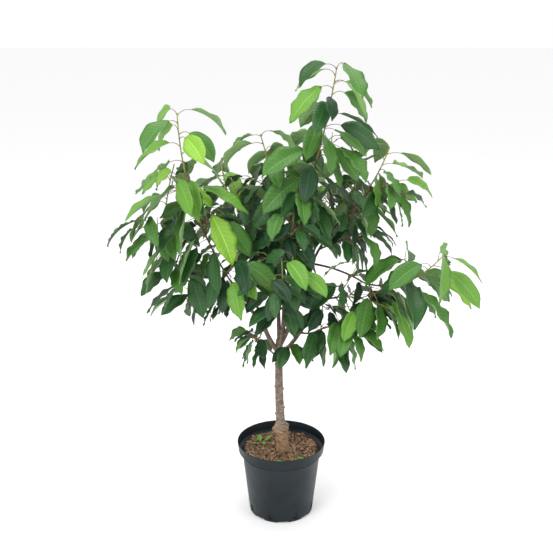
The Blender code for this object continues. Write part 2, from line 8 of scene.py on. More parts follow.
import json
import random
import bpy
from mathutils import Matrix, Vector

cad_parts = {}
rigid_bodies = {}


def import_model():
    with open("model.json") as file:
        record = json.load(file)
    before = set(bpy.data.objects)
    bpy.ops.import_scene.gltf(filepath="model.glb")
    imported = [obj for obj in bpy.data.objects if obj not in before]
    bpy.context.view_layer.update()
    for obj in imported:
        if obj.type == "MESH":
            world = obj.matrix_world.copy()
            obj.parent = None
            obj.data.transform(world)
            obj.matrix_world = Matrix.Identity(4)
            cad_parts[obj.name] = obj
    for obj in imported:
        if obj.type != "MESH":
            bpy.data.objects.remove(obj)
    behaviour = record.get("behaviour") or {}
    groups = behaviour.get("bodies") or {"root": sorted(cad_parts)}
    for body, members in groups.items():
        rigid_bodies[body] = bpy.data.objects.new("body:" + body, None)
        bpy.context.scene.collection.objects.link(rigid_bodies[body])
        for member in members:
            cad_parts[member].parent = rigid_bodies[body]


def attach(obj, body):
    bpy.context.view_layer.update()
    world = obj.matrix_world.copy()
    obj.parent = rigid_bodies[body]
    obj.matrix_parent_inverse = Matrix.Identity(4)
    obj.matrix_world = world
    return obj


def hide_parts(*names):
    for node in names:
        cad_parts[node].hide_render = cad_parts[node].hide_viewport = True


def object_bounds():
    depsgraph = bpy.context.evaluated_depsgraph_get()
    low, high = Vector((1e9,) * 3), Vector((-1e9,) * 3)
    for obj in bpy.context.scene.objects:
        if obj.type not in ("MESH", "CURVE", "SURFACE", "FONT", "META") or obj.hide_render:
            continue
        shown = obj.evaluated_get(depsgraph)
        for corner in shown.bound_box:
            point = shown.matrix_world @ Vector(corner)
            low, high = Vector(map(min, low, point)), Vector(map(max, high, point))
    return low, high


bl_info = {
    "name": "Potted cherry tree",
    "version": (1, 0, 0),
    "blender": (4, 5, 0),
    "location": "3D View > Sidebar > Cherry tree",
    "description": "Builds a young cherry tree in a nursery pot, with its leaves, bark and potting mix",
    "category": "Object",
}

from collections import namedtuple
from functools import lru_cache
from math import cos, exp, pi, radians, sin, tan, tau

import bpy
import numpy as np
from bpy.props import FloatProperty, FloatVectorProperty, IntProperty, PointerProperty
from mathutils import Matrix, Vector, noise
from mathutils.bvhtree import BVHTree

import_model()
CAD_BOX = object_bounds()

MM = 0.001
GAP = 0.3 * MM
UP = Vector((0.0, 0.0, 1.0))

# Nursery pot
POT_HEIGHT = 241 * MM
POT_FOOT_RADIUS = 102 * MM
POT_SHOULDER_RADIUS = 125 * MM
POT_BAND_HEIGHT = 33 * MM
POT_BAND_RADIUS = 136 * MM
POT_RIM_RADIUS = 140 * MM
POT_WALL = 2.4 * MM
POT_FLOOR = 3.0 * MM
POT_FOOT_RING = 7 * MM
POT_CHANNEL_RISE = 6 * MM
POT_DISC_RADIUS = 60 * MM
POT_REST_RADIUS = 40 * MM
DRAIN_COUNT = 8
DRAIN_WIDTH = 14 * MM
DRAIN_HEIGHT = 24 * MM
DRAIN_START = 10 * MM
DRAIN_TURN = radians(26)
NOTCH_WIDTH = 36 * MM
NOTCH_HEIGHT = 5 * MM

# Potting mix
MIX_LEVEL = 205 * MM
MIX_EDGE = 212 * MM
MIX_HOLLOW = 3 * MM
MIX_BED_RADIUS = 30 * MM

# Trunk: a rootstock foot, the swollen graft and the grafted stem up to the fork
TRUNK_FOOT = Vector((6, 0, 205.3)) * MM
TRUNK_TOP = Vector((-6, 2, 588)) * MM
TRUNK_BOW = Vector((-6, 0, 0)) * MM
TRUNK_THICK = 15.6 * MM
TRUNK_THIN = 10.8 * MM
ROOTSTOCK_EXTRA = 4.2 * MM
FLARE = 2.6 * MM
FLARE_RISE = 12 * MM
GRAFT_HEIGHT = 80 * MM
GRAFT_SWELL = 7.5 * MM
GRAFT_SPREAD = 15 * MM
GRAFT_STEP = 6 * MM
TRUNK_SIDES = 10
TRUNK_RINGS = 14
RING_CROWDING = 1.35
BOUGH_SIDES = 6
BOUGH_RINGS = 5

# Growth rule: one stem a mass, side twigs from the stem, leaves on both
STEM_THICK = 2.8 * MM
STEM_THIN = 1.7 * MM
STEM_LEAD = 0.25
STEM_BARE = 0.16
STEM_RINGS = 6
TWIG_SIDES = 3
TWIG_RINGS = 3
TWIG_THICK = 1.9 * MM
TWIG_THIN = 1.5 * MM
TWIG_FIRST = 0.06
TWIG_SPAN = 0.72
TWIG_LENGTHS = (0.8, 1.25)
TWIG_BENDS = (0.8, 1.2)
TWIG_LIFTS = (0.0, 0.25)
TWIG_STEP = radians(50)
TWIG_FREE = 0.2
TWIG_BARE = 0.35
TWIG_LEAVES = 3
TWIG_LEAF_SIZE = 0.9
TWIG_TRIES = 4
LEAF_TRIES = 5
LEAF_LAST = 0.985
LEAF_SIZES = (0.82, 1.12)
LEAF_WANDER = 0.5
LEAF_RISES = (-0.5, 0.85)
LEAF_NOD = 0.15
LEAF_FALL = (radians(12), radians(64))
LEAF_DROOP = (radians(10), radians(30))
LEAF_ROLL = radians(26)
LEAF_LIGHT_ROLL = radians(48)
YOUNG_RISE = radians(26)
YOUNG_FALL = radians(12)
YOUNG_ARCH = radians(30)
YOUNG_SHARE = 4
LEAF_TURN = radians(144)
TWIG_TURN = radians(137.5)
TWIG_ANGLE = radians(52)
PETIOLE_ANGLE = radians(58)
PETIOLE_SHARE = 0.30
PETIOLE_SIZES = (0.85, 1.2)
PETIOLE_RADIUS = 1.1 * MM
PETIOLE_CORNERS = (pi / 6, pi * 5 / 6, pi * 3 / 2)
BLADE_SHAPE = ((0.38, 1.0), (0.74, 0.68))
BLADE_WIDTH = 0.25
BLADE_FOLD = radians(14)
BEND_RATE = 1.15
MIDLINE_STEPS = 24
ROOT_FREE = 14 * MM
CLEARANCE = 1.2 * MM
CROWN_FLOOR = 470 * MM
REACH_MARKS = 6
FIRST_SEED = 1

Bough = namedtuple("Bough", "parent at tip bow thick thin")
BOUGHS = {
    "bough_left": Bough("trunk", 0.88, (-62, -30, 678), (-6, -4, -4), 8.0, 6.6),
    "bough_left_outer": Bough("bough_left", 0.93, (-149, -70, 798), (-5, 0, -12), 5.4, 4.0),
    "bough_left_end": Bough("bough_left_outer", 0.62, (-205, -62, 765), (0, 0, -7), 3.8, 3.0),
    "bough_left_low": Bough("bough_left_outer", 0.36, (-142, -26, 722), (0, 0, 4), 3.2, 2.8),
    "bough_left_inner": Bough("bough_left", 0.88, (-92, 25, 792), (-6, 8, -6), 4.6, 3.6),
    "bough_centre": Bough("trunk", 0.96, (-20, 30, 800), (4, 0, 0), 6.0, 4.6),
    "bough_leader": Bough("trunk", 0.90, (22, 4, 845), (7, -2, 0), 7.0, 5.2),
    "bough_heart": Bough("bough_leader", 0.62, (6, -46, 838), (0, -6, -4), 3.8, 3.2),
    "bough_top": Bough("bough_leader", 0.95, (60, -18, 1010), (-4, 0, 0), 4.3, 3.5),
    "bough_right": Bough("trunk", 0.93, (98, 2, 854), (8, 4, -6), 7.4, 5.2),
    "bough_right_upper": Bough("bough_right", 0.95, (165, 0, 955), (-4, 0, 4), 4.2, 3.4),
    "bough_right_inner": Bough("bough_right", 0.86, (118, 62, 905), (-4, 6, 0), 3.8, 3.2),
    "bough_right_small": Bough("bough_right_upper", 0.30, (176, -20, 912), (4, -4, 4), 3.0, 2.7),
    "bough_right_long": Bough("bough_right", 0.93, (245, -52, 790), (4, 0, 8), 3.6, 2.9),
    "bough_low_right": Bough("trunk", 0.84, (104, -6, 702), (6, -2, -6), 7.0, 5.2),
    "bough_low_shoot": Bough("bough_low_right", 0.52, (112, -54, 640), (4, 0, -6), 3.4, 2.9),
    "bough_front": Bough("trunk", 0.94, (4, -104, 728), (2, -10, -8), 4.6, 3.4),
    "bough_back": Bough("trunk", 0.92, (-12, 118, 742), (0, 10, -10), 6.2, 5.0),
    "bough_back_top": Bough("bough_back", 0.95, (-4, 178, 900), (0, 10, 0), 3.8, 3.2),
    "bough_back_left": Bough("bough_back", 0.92, (-108, 180, 852), (-8, 6, -6), 4.0, 3.2),
    "bough_back_right": Bough("bough_back", 0.88, (92, 184, 842), (8, 6, -6), 4.0, 3.2),
    "bough_spur_left": Bough("trunk", 0.82, (-52, -24, 578), (0, 0, 2), 3.4, 2.9),
    "bough_spur_right": Bough("trunk", 0.82, (14, -34, 572), (0, 0, 3), 3.2, 2.9),
}

Mass = namedtuple("Mass", "bough tip bow twigs twig leaves leaf reach")
MASSES = {
    "foliage_top": Mass("bough_top", (151, -70, 1422), (6, -4, 0), 2, 60, 20, 138, 270),
    "foliage_left_long": Mass("bough_left_outer", (-284, -150, 1308), (-34, -14, 0), 3, 60, 21, 142, 270),
    "foliage_right_end": Mass("bough_right_long", (460, -150, 906), (8, -6, -14), 2, 60, 14, 156, 250),
    "foliage_right_upper": Mass("bough_right_upper", (314, 10, 1184), (12, 0, -12), 3, 70, 15, 125, 240),
    "foliage_centre": Mass("bough_centre", (-62, 14, 1222), (30, 6, 0), 4, 80, 16, 108, 230),
    "foliage_left_end": Mass("bough_left_end", (-306, -62, 1150), (-60, -4, -66), 4, 70, 15, 124, 240),
    "foliage_low_shoot": Mass("bough_low_shoot", (234, -130, 735), (4, -4, -8), 2, 60, 12, 118, 220),
    "foliage_low_right": Mass("bough_low_right", (334, -60, 706), (0, -6, 10), 5, 90, 12, 112, 220),
    "foliage_left_low": Mass("bough_left_low", (-214, -40, 733), (0, 0, 6), 2, 50, 6, 78, 170),
    "foliage_right_small": Mass("bough_right_small", (256, -40, 934), (0, 0, 8), 2, 60, 6, 98, 200),
    "foliage_right_inner": Mass("bough_right_inner", (208, 70, 1030), (0, 10, 0), 5, 80, 6, 100, 220),
    "foliage_left_inner": Mass("bough_left_inner", (-150, 30, 1090), (10, 10, 0), 5, 90, 8, 105, 220),
    "foliage_heart": Mass("bough_heart", (4, -76, 1004), (2, -8, 0), 5, 85, 6, 92, 200),
    "foliage_front": Mass("bough_front", (0, -200, 900), (0, -14, 0), 4, 80, 6, 98, 200),
    "foliage_back_top": Mass("bough_back_top", (6, 190, 1120), (0, 16, 0), 4, 80, 9, 108, 220),
    "foliage_back_left": Mass("bough_back_left", (-190, 250, 1080), (-10, 10, -10), 4, 85, 11, 110, 220),
    "foliage_back_right": Mass("bough_back_right", (190, 250, 1060), (10, 10, -10), 4, 85, 11, 110, 220),
    "foliage_tuft_left": Mass("bough_spur_left", (-90, -44, 614), (0, 0, 6), 1, 40, 7, 80, 150),
    "foliage_tuft_right": Mass("bough_spur_right", (30, -62, 592), (0, 0, 4), 0, 40, 5, 72, 140),
}
Path = namedtuple("Path", "start control end")
Leaf = namedtuple("Leaf", "root out rise fall droop length petiole roll")


def path_between(start, end, bow):
    """A curve from start to end whose middle stands off the straight line by bow."""
    return Path(start, (start + end) / 2 + bow * 2, end)


def along(path, t):
    return path.start * (1 - t) ** 2 + path.control * (2 * t * (1 - t)) + path.end * t**2


def heading(path, t):
    return ((path.control - path.start) * (1 - t) + (path.end - path.control) * t).normalized()


def sideways(direction):
    """Two unit vectors square to a direction and to each other."""
    first = direction.cross(Vector((0.0, 1.0, 0.0))).normalized()
    return first, direction.cross(first).normalized()


def ring_square_to(direction, middle, radius, sides):
    across, over = sideways(direction)
    turns = [tau * side / sides for side in range(sides)]
    return [middle + (across * cos(a) + over * sin(a)) * radius for a in turns]


def ring_round(path, t, radius, sides):
    return ring_square_to(heading(path, t), along(path, t), radius, sides)


def lofted(rings):
    """Points and outward faces of a closed skin over rings of points, the last of which may be one point."""
    points = [point for ring in rings for point in ring]
    faces = [tuple(reversed(range(len(rings[0]))))]
    base = 0
    for ring, following in zip(rings, rings[1:]):
        nearest = base + len(ring)
        for i in range(len(ring)):
            j = (i + 1) % len(ring)
            if len(following) == 1:
                faces.append((base + i, base + j, nearest))
            else:
                faces.append((base + i, base + j, nearest + j, nearest + i))
        base = nearest
    if len(rings[-1]) > 1:
        faces.append(tuple(range(base, base + len(rings[-1]))))
    return points, faces


def tapered_rings(path, thick, thin, sides, count):
    shares = [ring / count for ring in range(count + 1)]
    return [ring_round(path, t, thick + (thin - thick) * t, sides) for t in shares]


def tube(path, thick, thin, sides, count):
    """A limb that tapers evenly along its path."""
    return lofted(tapered_rings(path, thick, thin, sides, count))


def trunk_path():
    return path_between(TRUNK_FOOT, TRUNK_TOP, TRUNK_BOW)


def trunk_radius(t):
    """Even taper, with the thicker rootstock below the graft, the swollen graft and a flared foot."""
    height = t * (TRUNK_TOP - TRUNK_FOOT).length
    taper = TRUNK_THICK + (TRUNK_THIN - TRUNK_THICK) * t
    rootstock = ROOTSTOCK_EXTRA / (1 + exp((height - GRAFT_HEIGHT) / GRAFT_STEP))
    graft = GRAFT_SWELL * exp(-(((height - GRAFT_HEIGHT) / GRAFT_SPREAD) ** 2))
    flare = FLARE * exp(-height / FLARE_RISE)
    return taper + rootstock + graft + flare


def trunk_rings(extra):
    """Rings up the trunk, crowded towards its foot, which is cut level."""
    path = trunk_path()
    shares = [(ring / TRUNK_RINGS) ** RING_CROWDING for ring in range(TRUNK_RINGS + 1)]
    rings = [ring_round(path, t, trunk_radius(t) + extra, TRUNK_SIDES) for t in shares]
    rings[0] = ring_square_to(UP, path.start, trunk_radius(0.0) + extra, TRUNK_SIDES)
    return rings


def limb_path(name):
    """The path of a limb. A bough starts on its parent's middle line."""
    if name == "trunk":
        return trunk_path()
    bough = BOUGHS[name]
    start = along(limb_path(bough.parent), bough.at)
    return path_between(start, Vector(bough.tip) * MM, Vector(bough.bow) * MM)


def limb_skin(name, extra=0.0):
    """The skin of a limb, or with extra above 0 one that stands off it all round and at its end."""
    path = limb_path(name)
    if name == "trunk":
        rings = trunk_rings(extra)
    else:
        thick, thin = BOUGHS[name].thick * MM + extra, BOUGHS[name].thin * MM + extra
        rings = tapered_rings(path, thick, thin, BOUGH_SIDES, BOUGH_RINGS)
    rings[-1] = [point + heading(path, 1.0) * extra for point in rings[-1]]
    return lofted(rings)


def mass_seed(name):
    """Each mass draws its own numbers, by its place in the list."""
    return FIRST_SEED + list(MASSES).index(name)


def stem_path(name):
    """The path of a mass's stem, which goes on from its bough's tip a hair clear of it."""
    mass = MASSES[name]
    bough = limb_path(mass.bough)
    start = bough.end + heading(bough, 1.0) * GAP
    end = Vector(mass.tip) * MM
    bow = Vector(mass.bow) * MM
    level = heading(bough, 1.0) * (end - start).length * STEM_LEAD
    return path_between(start, end, bow * (1 - STEM_LEAD) + (level - (end - start) * STEM_LEAD) / 2)


def stem_skin(name, extra=0.0):
    """A stem whose first face lies flat to the end of its bough."""
    path = stem_path(name)
    rings = tapered_rings(path, STEM_THICK + extra, STEM_THIN + extra, TWIG_SIDES, STEM_RINGS)
    square = heading(limb_path(MASSES[name].bough), 1.0)
    rings[0] = ring_square_to(square, path.start, STEM_THICK + extra, TWIG_SIDES)
    return lofted(rings)


def twig_skin(path, extra=0.0):
    return tube(path, TWIG_THICK + extra, TWIG_THIN + extra, TWIG_SIDES, TWIG_RINGS)


def past_root(twig):
    """The part of a twig that is free of the limb it springs from."""
    return Path(along(twig, TWIG_FREE), along(twig, (1 + TWIG_FREE) / 2), twig.end)


def leaf_midline(leaf):
    """Points along a leaf: the petiole rises and bends over, and the blade hangs from it ever steeper."""
    length = leaf.petiole + leaf.length
    split = leaf.petiole / length
    points = [leaf.root.copy()]
    for index in range(MIDLINE_STEPS):
        share = (index + 0.5) / MIDLINE_STEPS
        if share < split:
            slope = leaf.rise - (leaf.rise + leaf.fall) * (share / split) ** BEND_RATE
        else:
            slope = -leaf.fall - leaf.droop * (share - split) / (1 - split)
        points.append(points[-1] + (leaf.out * cos(slope) + UP * sin(slope)) * (length / MIDLINE_STEPS))
    return points


def on_midline(points, share):
    """The point and the direction at a share of the midline's length."""
    place = min(max(share, 0.0), 1.0) * (len(points) - 1)
    index = min(int(place), len(points) - 2)
    ahead = points[index + 1] - points[index]
    return points[index] + ahead * (place - index), ahead.normalized()


def leaf_skin(leaf, extra=0.0, first=0.0):
    """A coarse closed leaf: a three-sided petiole and a folded blade that ends in a point.

    With first above 0 the petiole starts that share of the way along, clear of its twig."""
    midline = leaf_midline(leaf)
    split = leaf.petiole / (leaf.petiole + leaf.length)
    level = UP.cross(leaf.out)
    thin = PETIOLE_RADIUS + extra
    root, tip = on_midline(midline, first)[0], on_midline(midline, split)[0]
    over = (tip - root).normalized().cross(level)
    corners = [(level * cos(a) + over * sin(a)) * thin for a in PETIOLE_CORNERS]
    rings = [[end + corner for corner in corners] for end in (root, tip)]
    for share, width in BLADE_SHAPE:
        point, ahead = on_midline(midline, split + (1 - split) * share)
        across = Matrix.Rotation(leaf.roll, 3, ahead) @ level
        over = ahead.cross(across)
        half = leaf.length * BLADE_WIDTH * width + thin
        edge = over * (half * sin(BLADE_FOLD) + extra)
        rings.append([point + across * half + edge, point - across * half + edge, point - over * thin])
    rings.append([midline[-1] + ahead * extra])
    return lofted(rings)


def bounded(skin):
    """A skin's middle, its reach from there and a tree of its faces."""
    points, faces = skin
    middle = sum(points, Vector()) / len(points)
    reach = max((point - middle).length for point in points)
    return middle, reach, BVHTree.FromPolygons(points, faces)


def touch(one, other):
    apart = (one[0] - other[0]).length
    return apart < one[1] + other[1] and bool(one[2].overlap(other[2]))


class Taken:
    """The room that limbs, twigs and leaves already fill.

    Things of one mass may meet at their roots, so each is kept twice: whole, for the other masses,
    and free of its root, for its own mass."""

    def __init__(self):
        self.filled = []

    def add(self, owner, whole, free):
        self.filled.append((owner, bounded(whole), bounded(free)))

    def has_room_for(self, owner, whole, free):
        whole, free = bounded(whole), bounded(free)
        for other_owner, other_whole, other_free in self.filled:
            if other_owner == owner and touch(free, other_free):
                return False
            if other_owner != owner and touch(whole, other_whole):
                return False
        return True


def inside_space(points, stem, reach):
    """Whether all the points lie within reach of the stem and above the bare trunk."""
    marks = [along(stem, share / REACH_MARKS) for share in range(REACH_MARKS + 1)]
    for point in points:
        if point.z < CROWN_FLOOR or min((point - mark).length for mark in marks) > reach:
            return False
    return True


def side_direction(path, t, azimuth, angle):
    across, over = sideways(heading(path, t))
    side = across * cos(azimuth) + over * sin(azimuth)
    return (heading(path, t) * cos(angle) + side * sin(angle)).normalized()


def grown_twig(stem, t, azimuth, length, rng):
    """A side twig that leaves its stem at an angle and turns up a little."""
    direction = side_direction(stem, t, azimuth, TWIG_ANGLE * rng.uniform(*TWIG_BENDS))
    start = along(stem, t)
    end = start + direction * length + UP * length * rng.uniform(*TWIG_LIFTS)
    return Path(start, start + direction * length * 0.5, end)


def grown_leaf(path, t, azimuth, length, rng):
    """A leaf that springs from a twig, arches over on its petiole and hangs, its face turned to the light.

    Young ones, near the tip, stand up more and arch over further."""
    direction = side_direction(path, t, azimuth + rng.uniform(-LEAF_WANDER, LEAF_WANDER), PETIOLE_ANGLE)
    level = Vector((direction.x, direction.y, 0.0))
    if level.length < 0.05:
        level = Vector((cos(azimuth), sin(azimuth), 0.0))
    youth = t**YOUNG_SHARE
    rise = min(max(direction.z, LEAF_RISES[0]), LEAF_RISES[1])
    rise += YOUNG_RISE * youth + rng.uniform(-LEAF_NOD, LEAF_NOD)
    fall = rng.uniform(*LEAF_FALL) * (1 - youth) + YOUNG_FALL * youth
    droop = rng.uniform(*LEAF_DROOP) + YOUNG_ARCH * youth
    size = length * rng.uniform(*LEAF_SIZES)
    petiole = size * PETIOLE_SHARE * rng.uniform(*PETIOLE_SIZES)
    root, level = along(path, t), level.normalized()
    to_light = Vector((root.x, root.y, 0.0)).normalized()
    roll = rng.uniform(-LEAF_ROLL, LEAF_ROLL) - LEAF_LIGHT_ROLL * UP.cross(level).dot(to_light)
    return Leaf(root, level, rise, fall, droop, size, petiole, roll)


def grow_twigs(name, taken, rng):
    """The side twigs of one mass that have room."""
    mass = MASSES[name]
    stem = stem_path(name)
    twigs = []
    for index in range(mass.twigs):
        t = TWIG_FIRST + TWIG_SPAN * index / mass.twigs
        for attempt in range(TWIG_TRIES):
            azimuth = TWIG_TURN * index + mass_seed(name) + attempt * TWIG_STEP
            length = mass.twig * MM * rng.uniform(*TWIG_LENGTHS)
            twig = grown_twig(stem, t, azimuth, length, rng)
            whole = twig_skin(twig, CLEARANCE)
            free = twig_skin(past_root(twig))
            if inside_space(whole[0], stem, mass.reach * MM) and taken.has_room_for(name, whole, free):
                taken.add(name, whole, whole)
                twigs.append(twig)
                break
    return twigs


def grow_leaves(name, path, count, first, length, taken, rng):
    """The leaves of one twig or stem that have room, placed by a steady turn round it."""
    mass = MASSES[name]
    stem = stem_path(name)
    leaves = []
    phase = rng.uniform(0, tau)
    for index in range(count):
        t = first + (LEAF_LAST - first) * index / (count - 1)
        for _ in range(LEAF_TRIES):
            leaf = grown_leaf(path, t, phase + LEAF_TURN * index, length, rng)
            whole = leaf_skin(leaf, CLEARANCE)
            free = leaf_skin(leaf, CLEARANCE, ROOT_FREE / (leaf.petiole + leaf.length))
            if inside_space(free[0], stem, mass.reach * MM) and taken.has_room_for(name, whole, free):
                taken.add(name, whole, free)
                leaves.append(leaf)
                break
    return leaves


def grow_mass(name, taken):
    """The side twigs and the leaves of one mass, which fill the room that is left."""
    mass = MASSES[name]
    rng = random.Random(mass_seed(name))
    twigs = grow_twigs(name, taken, rng)
    leaves = grow_leaves(name, stem_path(name), mass.leaves, STEM_BARE, mass.leaf * MM, taken, rng)
    for twig in twigs:
        leaves += grow_leaves(name, twig, TWIG_LEAVES, TWIG_BARE, mass.leaf * MM * TWIG_LEAF_SIZE, taken, rng)
    return twigs, leaves


def limbs_and_stems():
    """The room that the limbs and the stems of all the masses take."""
    taken = Taken()
    for name in ("trunk", *BOUGHS):
        limb = limb_skin(name, CLEARANCE)
        taken.add(name, limb, limb)
    for name in MASSES:
        stem = stem_skin(name, CLEARANCE)
        taken.add(name, stem, stem)
    return taken


# Finer growth in the room that the solids leave
FINE_SEED = 500
FINE_TWIG_SIZE = 0.6
FINE_TWIG_PLACES = (0.4, 0.72)
FINE_LEAF_SIZE = 0.8
FINE_STEM_SHARE = 0.5
FINE_TWIG_LEAVES = 2

# Leaf meshes
LEAF_ROWS = 12
LEAF_COLUMNS = 6
LEAF_THICK = 0.6 * MM
LEAF_FOLD_SIZES = (0.5, 1.4)
LEAF_CUPS = (0.05, 0.3)
LEAF_TWISTS = (-0.3, 0.3)
WAVE_COUNTS = (2.0, 3.6)
WAVE_SIZES = (0.4, 1.3)
WAVE_SHIFT = 2.1
BLADE_LEAN = 0.9
BLADE_FULLNESS = 0.75
BLADE_LEAST = 0.012
TIP_START = 0.78
TIP_NARROWING = 0.42
VEINS = 11.0
VEIN_SLANT = 1.7
VEIN_WIDTH = 0.07
VEIN_STRENGTH = 0.35
MIDRIB_WIDTH = 0.05
MIDRIB_LIGHT = 1.5
MIDRIB_LEAST = 0.012
VEIN_BUMP = 0.35
VEIN_DEPTH = 0.6 * MM
LEAF_SHINE = 0.35
LEAF_ROUGH = 0.42
UNDER_ROUGH = 0.6

# Shoots, petioles and buds
PETIOLE_SIDES = 5
PETIOLE_RINGS = 6
PETIOLE_SUNK = 1.04
PETIOLE_FOOT = 0.95
PETIOLE_TAPER = 0.25
PETIOLE_SWELL = 0.5
PETIOLE_SWELL_RATE = 6
GREEN_PETIOLES = 0.35
SHOOT_SIDES = 8
SHOOT_RINGS = 22
TWIG_MESH_SIDES = 6
TWIG_MESH_RINGS = 6
TWIG_END = 0.8
TWIG_YOUTH = 0.4
FINE_TWIG_END = 0.6
FINE_TWIG_YOUTH = 0.6
BUD_LENGTH = 5 * MM
BUD_RADIUS = 1.5 * MM
BUD_LEAN = 0.5
BUD_STAND = 0.8
BUD_SHAPE = ((0.0, 0.7), (0.4, 1.0), (0.75, 0.6))
STEM_TONES = 3

# Leaf tones, lit and shaded copies of one green: 0 is painted shade deep inside the crown and 4 the shoot
# tips, lighter as young leaves and as painted light
# Base tone of each mass: the masses that reach out get painted light
MASS_PAINTED_LIGHT = {
    "foliage_top": 2.3,
    "foliage_left_long": 2.5,
    "foliage_right_end": 2.4,
    "foliage_right_upper": 2.2,
    "foliage_centre": 1.9,
    "foliage_left_end": 2.1,
    "foliage_low_shoot": 1.9,
}
# Lower base tone of the other masses: painted shade
SHADED_MASS_TONE = 1.3
TONE_LIFT = -0.5
YOUNG_TONE = 1.6
TONE_SPREAD = 0.75
# Painted shade that deepens towards the middle of the crown
INWARD_PAINTED_SHADE = 0.9
CROWN_DEPTH = 300 * MM
FINE_TONE = 0.5
LAST_TONE = 4
# Leaves below this tone stand in painted shade and get the darker under side, also painted shade
PAINTED_SHADE_TONES = 2
UNDER_SLOT = 5
UNDER_PAINTED_SHADE_SLOT = 6
NEAREST_STEPS = 24

# Bark
LIMB_SIDES = 22
LIMB_STEP = 7 * MM
LIMB_RINGS_LEAST = 6
BARK_VOXEL = 1.7 * MM
CROTCH_ROUNDS = 3
BARK_GRAIN = (70, 70, 330)
BARK_FINE_GRAIN = 2.3
BARK_FINE_SHARE = 0.5
BARK_ROUGH = 0.8
BARK_HEIGHTS = (0.2, 0.9)
BARK_STOPS = ((0.0, "rootstock"), (0.1, "rootstock"), (0.15, "trunk"), (0.5, "trunk"), (0.75, "bough"))
BARK_MIDRANGE = (0.35, 0.65)
RING_GRAIN = (60, 60, 420)
RING_DETAIL = 5.0
RING_SHADES = (0.5, 1.35)
RING_BUMP = 0.6
RING_DEPTH = 1 * MM
PATCH_SCALE = 70.0
PATCH_DETAIL = 4.0
PATCH_SHADES = (0.7, 1.3)
KNOT_SUNK = 0.35
KNOT_FLATNESS = 0.75
Knot = namedtuple("Knot", "height turn radius")
KNOTS = (
    Knot(427, 165, 6.0),
    Knot(421, -12, 6.0),
    Knot(388, -95, 5.0),
    Knot(356, 5, 6.0),
    Knot(334, 172, 6.0),
    Knot(318, 40, 5.0),
    Knot(292, 15, 9.0),
    Knot(288, -70, 9.0),
    Knot(284, 195, 9.0),
    Knot(276, 120, 8.0),
    Knot(470, 60, 5.0),
    Knot(505, 190, 5.0),
)

# Speckled surfaces
Pattern = namedtuple("Pattern", "scale rough relief")
PLASTIC = Pattern(22.0, 0.4, 0.2 * MM)
SOIL = Pattern(260.0, 0.95, 2 * MM)
CHIP = Pattern(300.0, 0.9, 1 * MM)
SPECKLE_DETAIL = 6.0
SPECKLE_EDGES = (0.34, 0.66)
PLASTIC_LIGHT = 1.9
SOIL_LIGHT = 2.6
CHIP_DARK = 0.7
PLASTIC_SHINE = 0.3
DUST_SCALE = 14.0
DUST_DETAIL = 8.0
DUST_ROUGH = (0.28, 0.6)

# Finer form of the pot
POT_SHOULDER = POT_HEIGHT - POT_BAND_HEIGHT
POT_LINE = POT_SHOULDER - 12 * MM
POT_LINE_RISE = 1.2 * MM
POT_LINE_HALF = 3 * MM
POT_SMOOTH = radians(32)
DRAIN_DEPTHS = (20 * MM, -15 * MM)
SLOT_POINT = 0.7
SLOT_HAUNCH = 0.3
SLOT_HAUNCH_RISE = 0.62
NOTCH_TOP = 0.42
NOTCH_CORNER_DROP = 0.06

# Potting mix, its chips and what lies on it
MIX_RINGS = 26
MIX_SEGMENTS = 72
MIX_FOOT_RADIUS = 60 * MM
MIX_CLEAR = 1.5 * GAP
MIX_GRAIN = 160
MIX_FINE_GRAIN = 2.7
MIX_FINE_SHARE = 0.6
MIX_ROUGH = 2.2 * MM
MIX_ROUGH_BELOW = 8 * MM
CHIP_LENGTHS = (5, 16)
CHIP_WIDTHS = (0.2, 0.5)
CHIP_THICKS = (1.2, 3.0)
CHIP_LIFTS = (0.4, 3.2)
CHIP_TILTS = (0.25, 0.22)
CHIP_JITTERS = (0.06, 0.12)
CHIP_SHAPE = ((-1.0, 0.55), (-0.7, 1.0), (0.6, 0.9), (1.0, 0.45))
CHIP_CORNERS = ((1, 1), (1, -1), (-1, -1), (-1, 1))
CHIP_SHARES = (4, 5, 4, 2)
CHIP_MARGIN = 8 * MM
CHIP_FREE = 25 * MM
CHIP_EDGE = radians(30)
LITTER_SEED = 21
LITTER_LIFT = 4 * MM
LITTER_DROOP = radians(10)
LITTER_PETIOLE = 0.2
LITTER_ROUGH = 0.5
LITTER_COLOURS = {
    "sprout_green": (0.12, 0.28, 0.03),
    "litter_yellow": (0.45, 0.30, 0.04),
    "litter_dark": (0.020, 0.070, 0.018),
}
Litter = namedtuple("Litter", "kind x y turn size fall")
LITTER = (
    Litter("sprout_green", -66, 46, 100, 34, -20),
    Litter("sprout_green", -58, 52, 30, 30, -25),
    Litter("sprout_green", -70, 40, 200, 26, -12),
    Litter("sprout_green", -62, 50, 290, 28, -15),
    Litter("sprout_green", -20, -80, 20, 22, 0),
    Litter("sprout_green", 76, -74, 150, 26, 0),
    Litter("litter_yellow", -36, -92, 200, 34, 4),
    Litter("litter_yellow", -22, 26, 120, 16, 4),
    Litter("litter_dark", 2, -96, 170, 44, 4),
)

# Stage
FLOOR_SIZE = 24
FLOOR_PLACE = (0, 6, -0.5 * MM)
LIGHT_AIM = Vector((0, 0, 0.8))
SENSOR_WIDTH = 36
SIGHT = 100
Lamp = namedtuple("Lamp", "name place size power")
LAMPS = (
    Lamp("key", (-1.6, -2.2, 3.0), 1.8, 60.0),
    Lamp("fill", (2.4, -1.6, 2.2), 1.8, 22.0),
    Lamp("top", (0.2, 0.6, 3.6), 2.4, 50.0),
)

Growth = namedtuple("Growth", "stem twigs fine_twigs leaves fine_leaves")


def within_solids(points):
    """Whether points lie in the box that the solids fill."""
    low, high = (Vector(corner) for corner in CAD_BOX)
    return all(low[axis] <= point[axis] <= high[axis] for point in points for axis in range(3))


